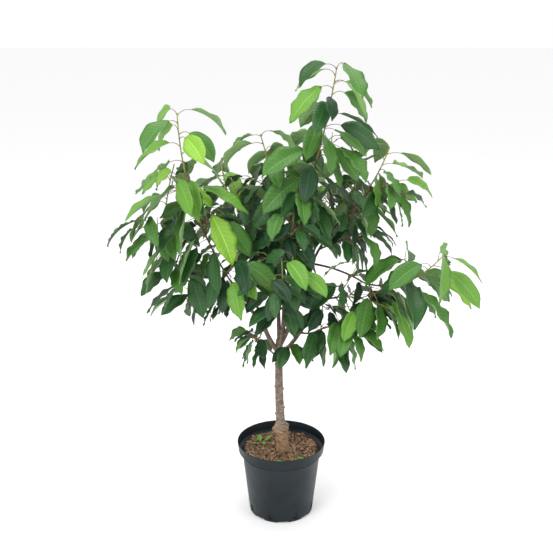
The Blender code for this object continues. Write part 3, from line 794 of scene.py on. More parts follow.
def grow_fine_twigs(name, twigs, taken, rng):
    """Finer twigs on the side twigs of a mass, where there is room."""
    mass = MASSES[name]
    stem = stem_path(name)
    fine_twigs = []
    for number, twig in enumerate(twigs):
        for place in FINE_TWIG_PLACES:
            for attempt in range(TWIG_TRIES):
                azimuth = TWIG_TURN * number + attempt * TWIG_STEP + place * tau
                fine = grown_twig(twig, place, azimuth, mass.twig * MM * FINE_TWIG_SIZE, rng)
                whole = twig_skin(fine, CLEARANCE)
                inside = inside_space(whole[0], stem, mass.reach * MM) and within_solids(whole[0])
                if inside and taken.has_room_for(name, whole, twig_skin(past_root(fine))):
                    taken.add(name, whole, whole)
                    fine_twigs.append(fine)
                    break
    return fine_twigs


def grow_fine_leaves(name, twigs, taken, rng):
    """Smaller leaves on the stem and the twigs of a mass, where there is room."""
    mass = MASSES[name]
    length = mass.leaf * MM * FINE_LEAF_SIZE
    count = max(int(mass.leaves * FINE_STEM_SHARE), 2)
    leaves = grow_leaves(name, stem_path(name), count, STEM_BARE / 2, length, taken, rng)
    for twig in twigs:
        leaves += grow_leaves(name, twig, FINE_TWIG_LEAVES, TWIG_BARE / 2, length, taken, rng)
    return [leaf for leaf in leaves if within_solids(leaf_skin(leaf)[0])]


@lru_cache(maxsize=1)
def grown_crown():
    """Every mass as the solids have it, then the finer growth of each in the room that is left."""
    taken = limbs_and_stems()
    first = {name: grow_mass(name, taken) for name in MASSES}
    crown = {}
    for name, (twigs, leaves) in first.items():
        rng = random.Random(mass_seed(name) + FINE_SEED)
        fine_twigs = grow_fine_twigs(name, twigs, taken, rng)
        fine_leaves = grow_fine_leaves(name, twigs + fine_twigs, taken, rng)
        crown[name] = Growth(stem_path(name), twigs, fine_twigs, leaves, fine_leaves)
    return crown


class Joined:
    """Many small shapes gathered into one mesh, each face with its material and each point with its place."""

    def __init__(self):
        self.points = []
        self.faces = []
        self.slots = []
        self.places = []

    def add(self, points, faces, slots, places=None):
        base = len(self.points)
        self.points += [tuple(point) for point in points]
        self.faces += [tuple(base + corner for corner in face) for face in faces]
        self.slots += slots
        self.places += places or [(0.5, 0.5)] * len(points)

    def add_loft(self, rings, slot):
        points, faces = lofted(rings)
        self.add(points, faces, [slot] * len(faces))

    def to_object(self, name, materials):
        mesh = bpy.data.meshes.new(name)
        mesh.from_pydata(self.points, [], self.faces)
        for material in materials:
            mesh.materials.append(material)
        mesh.polygons.foreach_set("material_index", self.slots)
        corners = np.empty(len(mesh.loops), np.int32)
        mesh.loops.foreach_get("vertex_index", corners)
        layer = mesh.uv_layers.new(name="Places")
        layer.data.foreach_set("uv", np.array(self.places, np.float32)[corners].ravel())
        mesh.shade_smooth()
        mesh.update()
        return linked(name, mesh)


def linked(name, content):
    made = bpy.data.objects.new(name, content)
    bpy.context.scene.collection.objects.link(made)
    return made


def eased(value, low, high):
    share = min(max((value - low) / (high - low), 0.0), 1.0)
    return share * share * (3 - 2 * share)


def blade_half(share):
    """Half the width of a cherry leaf as a share of its widest, from its foot to its drawn-out tip."""
    full = max(sin(pi * share**BLADE_LEAN), 0.0) ** BLADE_FULLNESS
    return full * (1 - TIP_NARROWING * eased(share, TIP_START, 1.0)) + BLADE_LEAST


def leaf_grid_faces():
    """Faces of a thin closed leaf, and for each 0 if it is on the upper side and 1 if it isn't."""
    wide, count = LEAF_COLUMNS + 1, (LEAF_ROWS + 1) * (LEAF_COLUMNS + 1)
    faces, sides = [], []
    for i in range(LEAF_ROWS):
        for j in range(LEAF_COLUMNS):
            a, b, c, d = i * wide + j, (i + 1) * wide + j, (i + 1) * wide + j + 1, i * wide + j + 1
            faces += [(a, b, c, d), (count + a, count + d, count + c, count + b)]
            sides += [0, 1]
    rim = list(range(wide))
    rim += [i * wide + LEAF_COLUMNS for i in range(1, LEAF_ROWS + 1)]
    rim += [LEAF_ROWS * wide + j for j in range(LEAF_COLUMNS - 1, -1, -1)]
    rim += [i * wide for i in range(LEAF_ROWS - 1, 0, -1)]
    for start, end in zip(rim, rim[1:] + rim[:1]):
        faces.append((start, end, count + end, count + start))
        sides.append(1)
    return faces, sides


def leaf_grid_points(leaf, settings, rng):
    """Points of a leaf's two sides, folded along its midrib, with waved edges and a little twist."""
    midline = leaf_midline(leaf)
    split = leaf.petiole / (leaf.petiole + leaf.length)
    level = UP.cross(leaf.out)
    fold = tan(settings.leaf_fold * rng.uniform(*LEAF_FOLD_SIZES))
    cup = rng.uniform(*LEAF_CUPS)
    twist = rng.uniform(*LEAF_TWISTS)
    waves, phase = rng.uniform(*WAVE_COUNTS), rng.uniform(0, tau)
    wave = settings.leaf_wave * leaf.length * rng.uniform(*WAVE_SIZES)
    above, below, places = [], [], []
    for i in range(LEAF_ROWS + 1):
        share = i / LEAF_ROWS
        middle, ahead = on_midline(midline, split + (1 - split) * share)
        across = Matrix.Rotation(leaf.roll + twist * share, 3, ahead) @ level
        over = ahead.cross(across)
        half = leaf.length * BLADE_WIDTH * settings.leaf_width * blade_half(share)
        for j in range(LEAF_COLUMNS + 1):
            u = 2 * j / LEAF_COLUMNS - 1
            rise = half * (fold * abs(u) - cup * u * u)
            rise += wave * u * u * sin(tau * waves * share + phase + (0 if u > 0 else WAVE_SHIFT))
            point = middle + across * (half * u) + over * rise
            above.append(point + over * (LEAF_THICK / 2))
            below.append(point - over * (LEAF_THICK / 2))
            places.append(((u + 1) / 2, share))
    return above + below, places + places


def petiole_rings(leaf):
    """Rings along a petiole, thicker at its foot, from inside its twig to inside the blade."""
    midline = leaf_midline(leaf)
    split = leaf.petiole / (leaf.petiole + leaf.length)
    rings = []
    for index in range(PETIOLE_RINGS + 1):
        share = index / PETIOLE_RINGS
        middle, ahead = on_midline(midline, split * share * PETIOLE_SUNK)
        wide = PETIOLE_FOOT - PETIOLE_TAPER * share + PETIOLE_SWELL * (1 - share) ** PETIOLE_SWELL_RATE
        rings.append(ring_square_to(ahead, middle, PETIOLE_RADIUS * wide, PETIOLE_SIDES))
    return rings


def bud_rings(leaf):
    """A small pointed bud in the angle above a petiole's foot."""
    direction = (leaf.out * BUD_LEAN + UP).normalized()
    start = leaf.root + leaf.out * (STEM_THIN * BUD_STAND)
    rings = []
    for share, wide in BUD_SHAPE:
        middle = start + direction * BUD_LENGTH * share
        rings.append(ring_square_to(direction, middle, BUD_RADIUS * wide, PETIOLE_SIDES))
    return rings + [[start + direction * BUD_LENGTH]]


def scaled(colour, factor):
    return tuple(channel * factor for channel in colour)


def fill_inputs(made, node, inputs):
    """Sets each named input of a node to a value, or links it to another node's output."""
    for name, value in inputs.items():
        if isinstance(value, bpy.types.NodeSocket):
            made.node_tree.links.new(value, node.inputs[name])
        else:
            node.inputs[name].default_value = value


def add_node(made, kind, inputs, **choices):
    node = made.node_tree.nodes.new("ShaderNode" + kind)
    for name, value in choices.items():
        setattr(node, name, value)
    fill_inputs(made, node, inputs)
    return node


def math_node(made, operation, *values):
    return add_node(made, "Math", dict(enumerate(values)), operation=operation).outputs[0]


def object_place(made):
    return add_node(made, "TexCoord", {}).outputs["Object"]


def noise_node(made, place, scale, detail):
    return add_node(made, "TexNoise", {"Vector": place, "Scale": scale, "Detail": detail}).outputs["Fac"]


def range_node(made, value, before, after):
    """Carries a value from one range over to another."""
    names = ("From Min", "From Max", "To Min", "To Max")
    return add_node(made, "MapRange", {"Value": value, **dict(zip(names, before + after))}).outputs["Result"]


def ramp_node(made, value, stops):
    ramp = add_node(made, "ValToRGB", {"Fac": value})
    elements = ramp.color_ramp.elements
    for index, (position, colour) in enumerate(stops):
        element = elements[index] if index < 2 else elements.new(position)
        element.position = position
        element.color = (*colour, 1.0)
    return ramp.outputs["Color"]


def bump_node(made, height, strength, distance):
    inputs = {"Height": height, "Strength": strength, "Distance": distance}
    return add_node(made, "Bump", inputs).outputs["Normal"]


def new_material(name, **inputs):
    """A material with one shader, whose inputs are set as dress says."""
    made = bpy.data.materials.new(name)
    made.use_nodes = True
    dress(made, **inputs)
    return made


def dress(made, **inputs):
    """Sets or links inputs of a material's shader, by short names of their own."""
    names = {"colour": "Base Color", "rough": "Roughness", "shine": "Specular IOR Level", "normal": "Normal"}
    shader = made.node_tree.nodes["Principled BSDF"]
    fill_inputs(made, shader, {names[name]: value for name, value in inputs.items()})


def plain_material(name, colour, rough):
    return new_material(name, colour=(*colour, 1.0), rough=rough)


def leaf_material(name, colour, rough):
    """A leaf side in one plain colour with its midrib and side veins drawn lighter and sunk a little."""
    made = new_material(name, rough=rough, shine=LEAF_SHINE)

    def calc(operation, *values):
        return math_node(made, operation, *values)

    place = add_node(made, "UVMap", {}, uv_map="Places").outputs["UV"]
    split = add_node(made, "SeparateXYZ", {0: place}).outputs
    off = calc("ABSOLUTE", calc("MULTIPLY", calc("SUBTRACT", split["X"], 0.5), 2.0))
    slanted = calc("SUBTRACT", calc("MULTIPLY", split["Y"], VEINS), calc("MULTIPLY", off, VEIN_SLANT))
    side = calc("ABSOLUTE", calc("SUBTRACT", calc("FRACT", slanted), 0.5))
    side_vein = calc("MULTIPLY", calc("LESS_THAN", side, VEIN_WIDTH), VEIN_STRENGTH)
    vein = calc("MAXIMUM", side_vein, calc("LESS_THAN", off, MIDRIB_WIDTH))
    lighter = [min(channel * MIDRIB_LIGHT + MIDRIB_LEAST, 1.0) for channel in colour]
    blend = add_node(made, "Mix", {}, data_type="RGBA")
    fill_inputs(made, blend, {"Factor": vein, "A": (*colour, 1.0), "B": (*lighter, 1.0)})
    furrows = bump_node(made, calc("COSINE", calc("MULTIPLY", slanted, tau)), VEIN_BUMP, VEIN_DEPTH)
    dress(made, colour=blend.outputs["Result"], normal=furrows)
    return made


def patterned_material(name, dark, light, pattern):
    """A rough surface whose colour wanders between two, with its relief."""
    made = new_material(name, rough=pattern.rough)
    speckle = noise_node(made, object_place(made), pattern.scale, SPECKLE_DETAIL)
    colour = ramp_node(made, speckle, tuple(zip(SPECKLE_EDGES, (dark, light))))
    dress(made, colour=colour, normal=bump_node(made, speckle, 1.0, pattern.relief))
    return made


def bark_material(settings):
    """Grey-brown bark in rings of lenticels, tan below the graft and darker brown up the boughs."""
    made = new_material("bark", rough=BARK_ROUGH)
    place = object_place(made)
    stretched = add_node(made, "Mapping", {"Vector": place, "Scale": RING_GRAIN}).outputs["Vector"]
    rings = noise_node(made, stretched, 1.0, RING_DETAIL)
    patches = noise_node(made, place, PATCH_SCALE, PATCH_DETAIL)
    height = add_node(made, "SeparateXYZ", {0: place}).outputs["Z"]
    stops = [(share, getattr(settings, colour)) for share, colour in BARK_STOPS]
    base = ramp_node(made, range_node(made, height, BARK_HEIGHTS, (0.0, 1.0)), stops)
    shade = range_node(made, rings, BARK_MIDRANGE, RING_SHADES)
    worn = range_node(made, patches, BARK_MIDRANGE, PATCH_SHADES)
    both = math_node(made, "MULTIPLY", shade, worn)
    tint = add_node(made, "VectorMath", {0: base, "Scale": both}, operation="SCALE")
    dress(made, colour=tint.outputs["Vector"], normal=bump_node(made, rings, RING_BUMP, RING_DEPTH))
    return made


def leaf_colours(settings):
    """The five shades of upper side, lit and shaded copies of one green from painted shade deep inside the
    crown to the shoot tips, and the two under sides, the darker one painted shade.
    """
    tops = ("inner", "deep", "middle", "fresh", "young")
    unders = ("under", "under_inner")
    made = [leaf_material("leaf_" + name, getattr(settings, name), LEAF_ROUGH) for name in tops]
    return made + [leaf_material("leaf_" + name, getattr(settings, name), UNDER_ROUGH) for name in unders]


def nearest_share(path, point):
    shares = [step / NEAREST_STEPS for step in range(NEAREST_STEPS + 1)]
    return min(shares, key=lambda share: (along(path, share) - point).length)


def leaf_tone(name, leaf, fine, rng):
    """Which shade a leaf takes: painted light on the shoots that reach out, their tips lightest as young
    leaves, painted shade on the inside, and the finer leaves a step darker.
    """
    youth = nearest_share(stem_path(name), leaf.root)
    tone = MASS_PAINTED_LIGHT.get(name, SHADED_MASS_TONE) + YOUNG_TONE * youth**3 + TONE_LIFT + rng.gauss(0.0, TONE_SPREAD)
    # Painted shade: the nearer the middle of the crown, the darker the leaf
    inward = 1 - min(Vector((leaf.root.x, leaf.root.y)).length / CROWN_DEPTH, 1.0)
    tone -= INWARD_PAINTED_SHADE * inward + (FINE_TONE if fine else 0.0)
    return int(min(max(round(tone), 0), LAST_TONE))


def make_leaves(name, growth, settings, materials):
    faces, sides = leaf_grid_faces()
    rng = random.Random(mass_seed(name))
    joined = Joined()
    for fine, leaves in ((False, growth.leaves), (True, growth.fine_leaves)):
        for leaf in leaves:
            tone = leaf_tone(name, leaf, fine, rng)
            points, places = leaf_grid_points(leaf, settings, rng)
            # Leaves in painted shade get the darker under side, painted shade as well
            under = UNDER_PAINTED_SHADE_SLOT if tone < PAINTED_SHADE_TONES else UNDER_SLOT
            joined.add(points, faces, [under if side else tone for side in sides], places)
    made = joined.to_object(name + "_leaves", materials)
    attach(made, "root")
    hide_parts(name)


def add_shoot(joined, path, thick, thin, sides, count, young):
    """A shoot whose faces go from brown at its foot to green at its tip, sooner on a younger one."""
    points, faces = lofted(tapered_rings(path, thick, thin, sides, count))
    tones = [min(int(STEM_TONES * ring / count + young), STEM_TONES - 1) for ring in range(count)]
    slots = [tones[0]] + [tone for tone in tones for _ in range(sides)] + [tones[-1]]
    joined.add(points, faces, slots)


def make_twigs(name, growth, materials):
    joined = Joined()
    add_shoot(joined, growth.stem, STEM_THICK, STEM_THIN, SHOOT_SIDES, SHOOT_RINGS, 0.0)
    kinds = (
        (growth.twigs, TWIG_THICK, TWIG_THIN * TWIG_END, TWIG_YOUTH),
        (growth.fine_twigs, TWIG_THIN, TWIG_THIN * FINE_TWIG_END, FINE_TWIG_YOUTH),
    )
    for twigs, thick, thin, young in kinds:
        for twig in twigs:
            add_shoot(joined, twig, thick, thin, TWIG_MESH_SIDES, TWIG_MESH_RINGS, young)
    rng = random.Random(mass_seed(name))
    for leaf in growth.leaves + growth.fine_leaves:
        joined.add_loft(petiole_rings(leaf), STEM_TONES + (rng.random() < GREEN_PETIOLES))
    for leaf in growth.leaves:
        joined.add_loft(bud_rings(leaf), 0)
    made = joined.to_object(name + "_twigs", materials)
    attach(made, "root")


def deselect_all():
    if bpy.context.object and bpy.context.object.mode != "OBJECT":
        bpy.ops.object.mode_set(mode="OBJECT")
    bpy.ops.object.select_all(action="DESELECT")


def activate(made):
    deselect_all()
    made.select_set(True)
    bpy.context.view_layer.objects.active = made


def turn_faces_out(made):
    activate(made)
    bpy.ops.object.mode_set(mode="EDIT")
    bpy.ops.mesh.select_all(action="SELECT")
    bpy.ops.mesh.normals_make_consistent(inside=False)
    bpy.ops.object.mode_set(mode="OBJECT")


def apply_all(made):
    activate(made)
    for modifier in list(made.modifiers):
        bpy.ops.object.modifier_apply(modifier=modifier.name)


def fine_limb_rings(name):
    path = limb_path(name)
    count = max(int((path.end - path.start).length / LIMB_STEP), LIMB_RINGS_LEAST)
    if name != "trunk":
        return tapered_rings(path, BOUGHS[name].thick * MM, BOUGHS[name].thin * MM, LIMB_SIDES, count)
    shares = [ring / count for ring in range(count + 1)]
    return [ring_round(path, share, trunk_radius(share), LIMB_SIDES) for share in shares]


def add_knot(knot):
    """A rounded swelling sunk into the side of the trunk."""
    trunk = trunk_path()
    share = (knot.height * MM - trunk.start.z) / (trunk.end.z - trunk.start.z)
    turn = radians(knot.turn)
    radius = knot.radius * MM
    out = Vector((cos(turn), sin(turn), 0.0)) * (trunk_radius(share) - radius * KNOT_SUNK)
    deselect_all()
    bpy.ops.mesh.primitive_ico_sphere_add(subdivisions=3, radius=radius, location=along(trunk, share) + out)
    bpy.context.object.scale = (1.0, 1.0, KNOT_FLATNESS)
    return bpy.context.object


def make_wood(settings):
    """The trunk and the boughs grown into one another, with knots, the graft and the bark's relief."""
    joined = Joined()
    for name in ("trunk", *BOUGHS):
        joined.add_loft(fine_limb_rings(name), 0)
    wood = joined.to_object("bark_wood", [bark_material(settings)])
    knots = [add_knot(knot) for knot in KNOTS]
    activate(wood)
    for knot in knots:
        knot.select_set(True)
    bpy.ops.object.transform_apply(location=True, rotation=True, scale=True)
    bpy.ops.object.join()
    remesh = wood.modifiers.new("grown together", "REMESH")
    remesh.mode = "VOXEL"
    remesh.voxel_size = BARK_VOXEL
    smooth = wood.modifiers.new("eased crotches", "CORRECTIVE_SMOOTH")
    smooth.iterations = CROTCH_ROUNDS
    smooth.use_only_smooth = True
    apply_all(wood)
    grain = Matrix.Diagonal(BARK_GRAIN)
    for vert, normal in zip(wood.data.vertices, [v.normal.copy() for v in wood.data.vertices]):
        spot = grain @ vert.co
        height = noise.noise(spot) + BARK_FINE_SHARE * noise.noise(spot * BARK_FINE_GRAIN)
        vert.co += normal * (settings.bark_relief * height)
    wood.data.update()
    wood.data.shade_smooth()
    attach(wood, "root")
    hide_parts("trunk", *BOUGHS)


def turned(name, profile, segments, material):
    """A body made by drawing a circle out step by step along a profile of radius and height."""
    deselect_all()
    (radius, height), *steps = profile
    middle = (0, 0, height)
    bpy.ops.mesh.primitive_circle_add(vertices=segments, radius=radius, fill_type="NGON", location=middle)
    made = bpy.context.object
    made.name = name
    made.data.name = name
    bpy.ops.object.mode_set(mode="EDIT")
    bpy.ops.mesh.select_all(action="SELECT")
    bpy.ops.mesh.delete(type="ONLY_FACE")
    bpy.ops.mesh.select_all(action="SELECT")
    for next_radius, next_height in steps:
        bpy.ops.mesh.extrude_region_move(TRANSFORM_OT_translate={"value": (0, 0, next_height - height)})
        scale = next_radius / radius
        bpy.ops.transform.resize(value=(scale, scale, 1), center_override=(0, 0, next_height))
        radius, height = next_radius, next_height
    bpy.ops.mesh.edge_face_add()
    bpy.ops.mesh.select_all(action="DESELECT")
    bpy.ops.mesh.select_non_manifold()
    bpy.ops.mesh.edge_face_add()
    bpy.ops.object.mode_set(mode="OBJECT")
    turn_faces_out(made)
    bpy.ops.object.transform_apply(location=True, rotation=True, scale=True)
    made.data.materials.append(material)
    return made


def pot_outer(height):
    return POT_FOOT_RADIUS + (POT_SHOULDER_RADIUS - POT_FOOT_RADIUS) * height / POT_SHOULDER


def slot_outline():
    """Half of a drain slot, a pointed arch, as distances from its middle and heights."""
    half, top = DRAIN_WIDTH / 2, DRAIN_START + DRAIN_HEIGHT
    shoulder = top - DRAIN_WIDTH * SLOT_POINT
    haunch = shoulder + (top - shoulder) * SLOT_HAUNCH_RISE
    return [(half, DRAIN_START), (half, shoulder), (DRAIN_WIDTH * SLOT_HAUNCH, haunch), (0.0, top)]


def notch_outline():
    """Half of a notch in the foot ring, with its upper corner cut off."""
    half = NOTCH_WIDTH / 2
    shoulder = NOTCH_HEIGHT - NOTCH_WIDTH * NOTCH_CORNER_DROP
    return [(half, -NOTCH_HEIGHT), (half, shoulder), (NOTCH_WIDTH * NOTCH_TOP, NOTCH_HEIGHT)]


def drain_block(half, turn):
    """A block with a mirrored outline, set through the wall at a turn."""
    outline = [(-half[0][0], half[0][1])] + half + [(-x, z) for x, z in reversed(half[1:]) if x]
    spin = Matrix.Rotation(turn, 3, "Z")
    depths = [POT_FOOT_RADIUS + depth for depth in DRAIN_DEPTHS]
    points, faces = lofted([[spin @ Vector((x, -depth, z)) for x, z in outline] for depth in depths])
    mesh = bpy.data.meshes.new("drain")
    mesh.from_pydata([tuple(point) for point in points], [], faces)
    made = linked("drain", mesh)
    turn_faces_out(made)
    return made


def pot_profile():
    """Radius and height from the middle of the underside, up the outside, over the rim and down inside."""
    foot = POT_FOOT_RADIUS - POT_FOOT_RING
    floor = POT_CHANNEL_RISE + POT_FLOOR
    return [
        (POT_REST_RADIUS, 0.0),
        (POT_DISC_RADIUS, 0.0),
        (POT_DISC_RADIUS + POT_WALL, POT_CHANNEL_RISE),
        (foot, POT_CHANNEL_RISE),
        (foot + 0.5 * MM, 0.6 * MM),
        (foot + 1.5 * MM, 0.0),
        (POT_FOOT_RADIUS - 1.2 * MM, 0.0),
        (POT_FOOT_RADIUS, 1.2 * MM),
        (pot_outer(POT_LINE - POT_LINE_HALF), POT_LINE - POT_LINE_HALF),
        (pot_outer(POT_LINE) + POT_LINE_RISE, POT_LINE),
        (pot_outer(POT_LINE + POT_LINE_HALF), POT_LINE + POT_LINE_HALF),
        (pot_outer(POT_SHOULDER - 1 * MM), POT_SHOULDER - 1 * MM),
        (POT_SHOULDER_RADIUS + 1 * MM, POT_SHOULDER),
        (POT_BAND_RADIUS - 2 * MM, POT_SHOULDER + POT_WALL * 0.6),
        (POT_BAND_RADIUS, POT_SHOULDER + POT_WALL * 1.3),
        (POT_RIM_RADIUS - 0.6 * MM, POT_HEIGHT - 4 * MM),
        (POT_RIM_RADIUS, POT_HEIGHT - 2 * MM),
        (POT_RIM_RADIUS - 0.7 * MM, POT_HEIGHT),
        (POT_RIM_RADIUS - POT_WALL + 0.5 * MM, POT_HEIGHT),
        (POT_RIM_RADIUS - POT_WALL, POT_HEIGHT - 1 * MM),
        (POT_BAND_RADIUS - POT_WALL, POT_SHOULDER + 3 * POT_WALL),
        (POT_SHOULDER_RADIUS - POT_WALL, POT_SHOULDER),
        (pot_outer(floor) - POT_WALL, floor),
    ]


def pot_material(settings):
    """Dark moulded plastic, faintly mottled, with dust that makes it duller in places."""
    light = scaled(settings.colour, PLASTIC_LIGHT)
    made = patterned_material("pot_plastic", settings.colour, light, PLASTIC)
    dust = noise_node(made, object_place(made), DUST_SCALE, DUST_DETAIL)
    dress(made, shine=PLASTIC_SHINE, rough=range_node(made, dust, (0.0, 1.0), DUST_ROUGH))
    return made


def make_pot(settings):
    pot = turned("pot_shell", pot_profile(), settings.segments, pot_material(settings))
    for index in range(DRAIN_COUNT * 2):
        outline = notch_outline() if index % 2 else slot_outline()
        block = drain_block(outline, DRAIN_TURN + tau * index / DRAIN_COUNT / 2)
        cut = pot.modifiers.new("drain", "BOOLEAN")
        cut.operation = "DIFFERENCE"
        cut.object = block
        apply_all(pot)
        bpy.data.objects.remove(block)
    activate(pot)
    bpy.ops.object.shade_smooth_by_angle(angle=POT_SMOOTH)
    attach(pot, "root")
    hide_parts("pot")


def mix_height(radius):
    """The level of the mix at a distance from the middle: higher at the wall and round the trunk."""
    edge = POT_SHOULDER_RADIUS - POT_WALL
    middle = (edge + MIX_BED_RADIUS) / 2
    hollow = MIX_LEVEL - MIX_HOLLOW
    if radius < middle:
        return MIX_LEVEL - MIX_HOLLOW * eased(radius, MIX_BED_RADIUS, middle)
    return hollow + (MIX_EDGE - hollow) * eased(radius, middle, edge)


def make_mix(settings):
    floor = POT_CHANNEL_RISE + POT_FLOOR + GAP
    foot = pot_outer(floor) - POT_WALL - MIX_CLEAR
    edge = POT_SHOULDER_RADIUS - POT_WALL - MIX_CLEAR
    profile = [(MIX_FOOT_RADIUS, floor), (foot, floor), (edge, POT_SHOULDER - GAP)]
    for step in range(MIX_RINGS, 0, -1):
        radius = (edge - GAP) * step / MIX_RINGS
        profile.append((radius, mix_height(radius)))
    soil = patterned_material("soil", settings.soil, scaled(settings.soil, SOIL_LIGHT), SOIL)
    mix = turned("potting_mix_bed", profile, MIX_SEGMENTS, soil)
    for vert in mix.data.vertices:
        if vert.co.z > MIX_LEVEL - MIX_ROUGH_BELOW:
            spot = vert.co * MIX_GRAIN
            height = noise.noise(spot) + MIX_FINE_SHARE * noise.noise(spot * MIX_FINE_GRAIN)
            vert.co.z += MIX_ROUGH * height
    mix.data.shade_smooth()
    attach(mix, "root")
    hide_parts("potting_mix")


def chip_rings(x, y, rng):
    """A bevelled splinter lying nearly flat on the mix at a place."""
    length = rng.uniform(*CHIP_LENGTHS) * MM
    width = length * rng.uniform(*CHIP_WIDTHS)
    thick = rng.uniform(*CHIP_THICKS) * MM
    turn = Matrix.Rotation(rng.uniform(0, tau), 3, "Z")
    tilts = [Matrix.Rotation(rng.gauss(0, tilt), 3, axis) for tilt, axis in zip(CHIP_TILTS, "XY")]
    laid = turn @ tilts[0] @ tilts[1]
    level = mix_height(Vector((x, y)).length)
    centre = Vector((x, y, level + rng.uniform(*CHIP_LIFTS) * MM))
    rings = []
    for share, size in CHIP_SHAPE:
        ring = []
        for side, up in CHIP_CORNERS:
            shift, swing = (rng.gauss(0, spread) for spread in CHIP_JITTERS)
            jitter = Vector((shift * length, swing * width, 0))
            corner = Vector((share * length / 2, side * width / 2 * size, up * thick / 2 * size))
            ring.append(centre + laid @ (corner + jitter))
        rings.append(ring)
    return rings


def make_chips(settings):
    """Chips of bark and wood strewn over the mix and clear of the trunk."""
    rng = random.Random(settings.chip_seed)
    materials = []
    for name in ("chip_light", "chip_middle", "chip_dark", "chip_red"):
        colour = getattr(settings, name)
        materials.append(patterned_material(name, scaled(colour, CHIP_DARK), colour, CHIP))
    joined = Joined()
    reach = POT_SHOULDER_RADIUS - POT_WALL - CHIP_MARGIN
    for _ in range(settings.chip_count):
        radius = reach * rng.random() ** 0.5
        turn = rng.uniform(0, tau)
        x, y = radius * cos(turn), radius * sin(turn)
        if (Vector((x, y)) - TRUNK_FOOT.xy).length < CHIP_FREE:
            continue
        rings = chip_rings(x, y, rng)
        joined.add_loft(rings, rng.choices(range(len(materials)), CHIP_SHARES)[0])
    chips = joined.to_object("bark_chips", materials)
    turn_faces_out(chips)
    chips.data.set_sharp_from_angle(angle=CHIP_EDGE)
    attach(chips, "root")


def make_litter(settings):
    """Weed sprouts and fallen leaves on the mix."""
    faces, _ = leaf_grid_faces()
    names = list(LITTER_COLOURS)
    materials = [leaf_material(name, LITTER_COLOURS[name], LITTER_ROUGH) for name in names]
    rng = random.Random(LITTER_SEED)
    joined = Joined()
    for kind, x, y, turn, size, fall in LITTER:
        out = Vector((cos(radians(turn)), sin(radians(turn)), 0.0))
        root = Vector((x * MM, y * MM, mix_height(Vector((x, y)).length * MM) + LITTER_LIFT))
        length, fall = size * MM, radians(fall)
        leaf = Leaf(root, out, -fall, fall, LITTER_DROOP, length, length * LITTER_PETIOLE, 0.0)
        points, places = leaf_grid_points(leaf, settings, rng)
        joined.add(points, faces, [names.index(kind)] * len(faces), places)
    made = joined.to_object("sprouts_and_litter", materials)
    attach(made, "root")


def make_floor(colour):
    deselect_all()
    bpy.ops.mesh.primitive_plane_add(size=FLOOR_SIZE, location=FLOOR_PLACE)
    floor = bpy.context.object
    floor.name = "floor"
    bpy.ops.object.transform_apply(location=True, rotation=True, scale=True)
    floor.data.materials.append(plain_material("floor_pale", colour, 0.9))


def make_light(scene):
    world = bpy.data.worlds.new("studio")
    world.use_nodes = True
    background = world.node_tree.nodes["Background"]
    background.inputs["Color"].default_value = (1.0, 1.0, 1.0, 1.0)
    background.inputs["Strength"].default_value = 1.0
    scene.world = world
    for lamp in LAMPS:
        light = bpy.data.lights.new(lamp.name, "AREA")
        light.energy = lamp.power
        light.size = lamp.size
        made = linked(lamp.name, light)
        made.location = lamp.place
        made.rotation_euler = (LIGHT_AIM - Vector(lamp.place)).to_track_quat("-Z", "Y").to_euler()


def make_camera(scene, settings):
    lens = bpy.data.cameras.new("camera")
    lens.lens = settings.lens
    lens.sensor_width = SENSOR_WIDTH
    lens.clip_end = SIGHT
    camera = linked("camera", lens)
    camera.location = (settings.aside, -settings.distance, settings.height)
    camera.rotation_euler = (pi / 2 - settings.pitch, 0, 0)
    scene.camera = camera
    scene.view_settings.view_transform = "Standard"


def colour_setting(name, description, colour):
    kind = {"subtype": "COLOR", "size": 3, "min": 0, "max": 1}
    return FloatVectorProperty(name=name, description=description, default=colour, **kind)


def length_setting(name, description, default):
    return FloatProperty(name=name, description=description, unit="LENGTH", default=default)


def angle_setting(name, description, default):
    return FloatProperty(name=name, description=description, subtype="ANGLE", default=radians(default))


def share_setting(name, description, default, low, high):
    return FloatProperty(name=name, description=description, default=default, min=low, max=high)


class CherryTreeSettings(bpy.types.PropertyGroup):
    leaf_width: share_setting("Leaf width", "Width against the usual leaf", 0.92, 0.5, 1.5)
    leaf_fold: angle_setting("Leaf fold", "Angle each half rises from the midrib", 26)
    leaf_wave: share_setting("Leaf wave", "Height of the waves at the edge", 0.03, 0.0, 0.1)
    # Upper sides from inner to young are lit and shaded copies of one green: inner and deep are painted
    # shade, middle to young partly painted light
    inner: colour_setting("Inner leaves", "Leaves deep inside the crown", (0.010, 0.045, 0.014))
    deep: colour_setting("Deep green", "Shaded leaves", (0.022, 0.085, 0.018))
    middle: colour_setting("Middle green", "Grown leaves in the light", (0.055, 0.165, 0.022))
    fresh: colour_setting("Fresh green", "Leaves near the shoot tips", (0.110, 0.270, 0.028))
    young: colour_setting("Young green", "Leaves at the shoot tips", (0.200, 0.400, 0.035))
    under: colour_setting("Under side", "Pale under side of light leaves", (0.200, 0.340, 0.130))
    # Painted shade on the under side of the shaded leaves
    under_inner: colour_setting("Inner under side", "Under side of dark leaves", (0.070, 0.150, 0.055))
    rootstock: colour_setting("Rootstock", "Bark below the graft", (0.330, 0.200, 0.110))
    trunk: colour_setting("Trunk", "Bark of the trunk", (0.220, 0.165, 0.125))
    bough: colour_setting("Boughs", "Bark of the boughs", (0.090, 0.055, 0.038))
    bark_relief: length_setting("Bark relief", "Height of the bark's rings", 0.5 * MM)


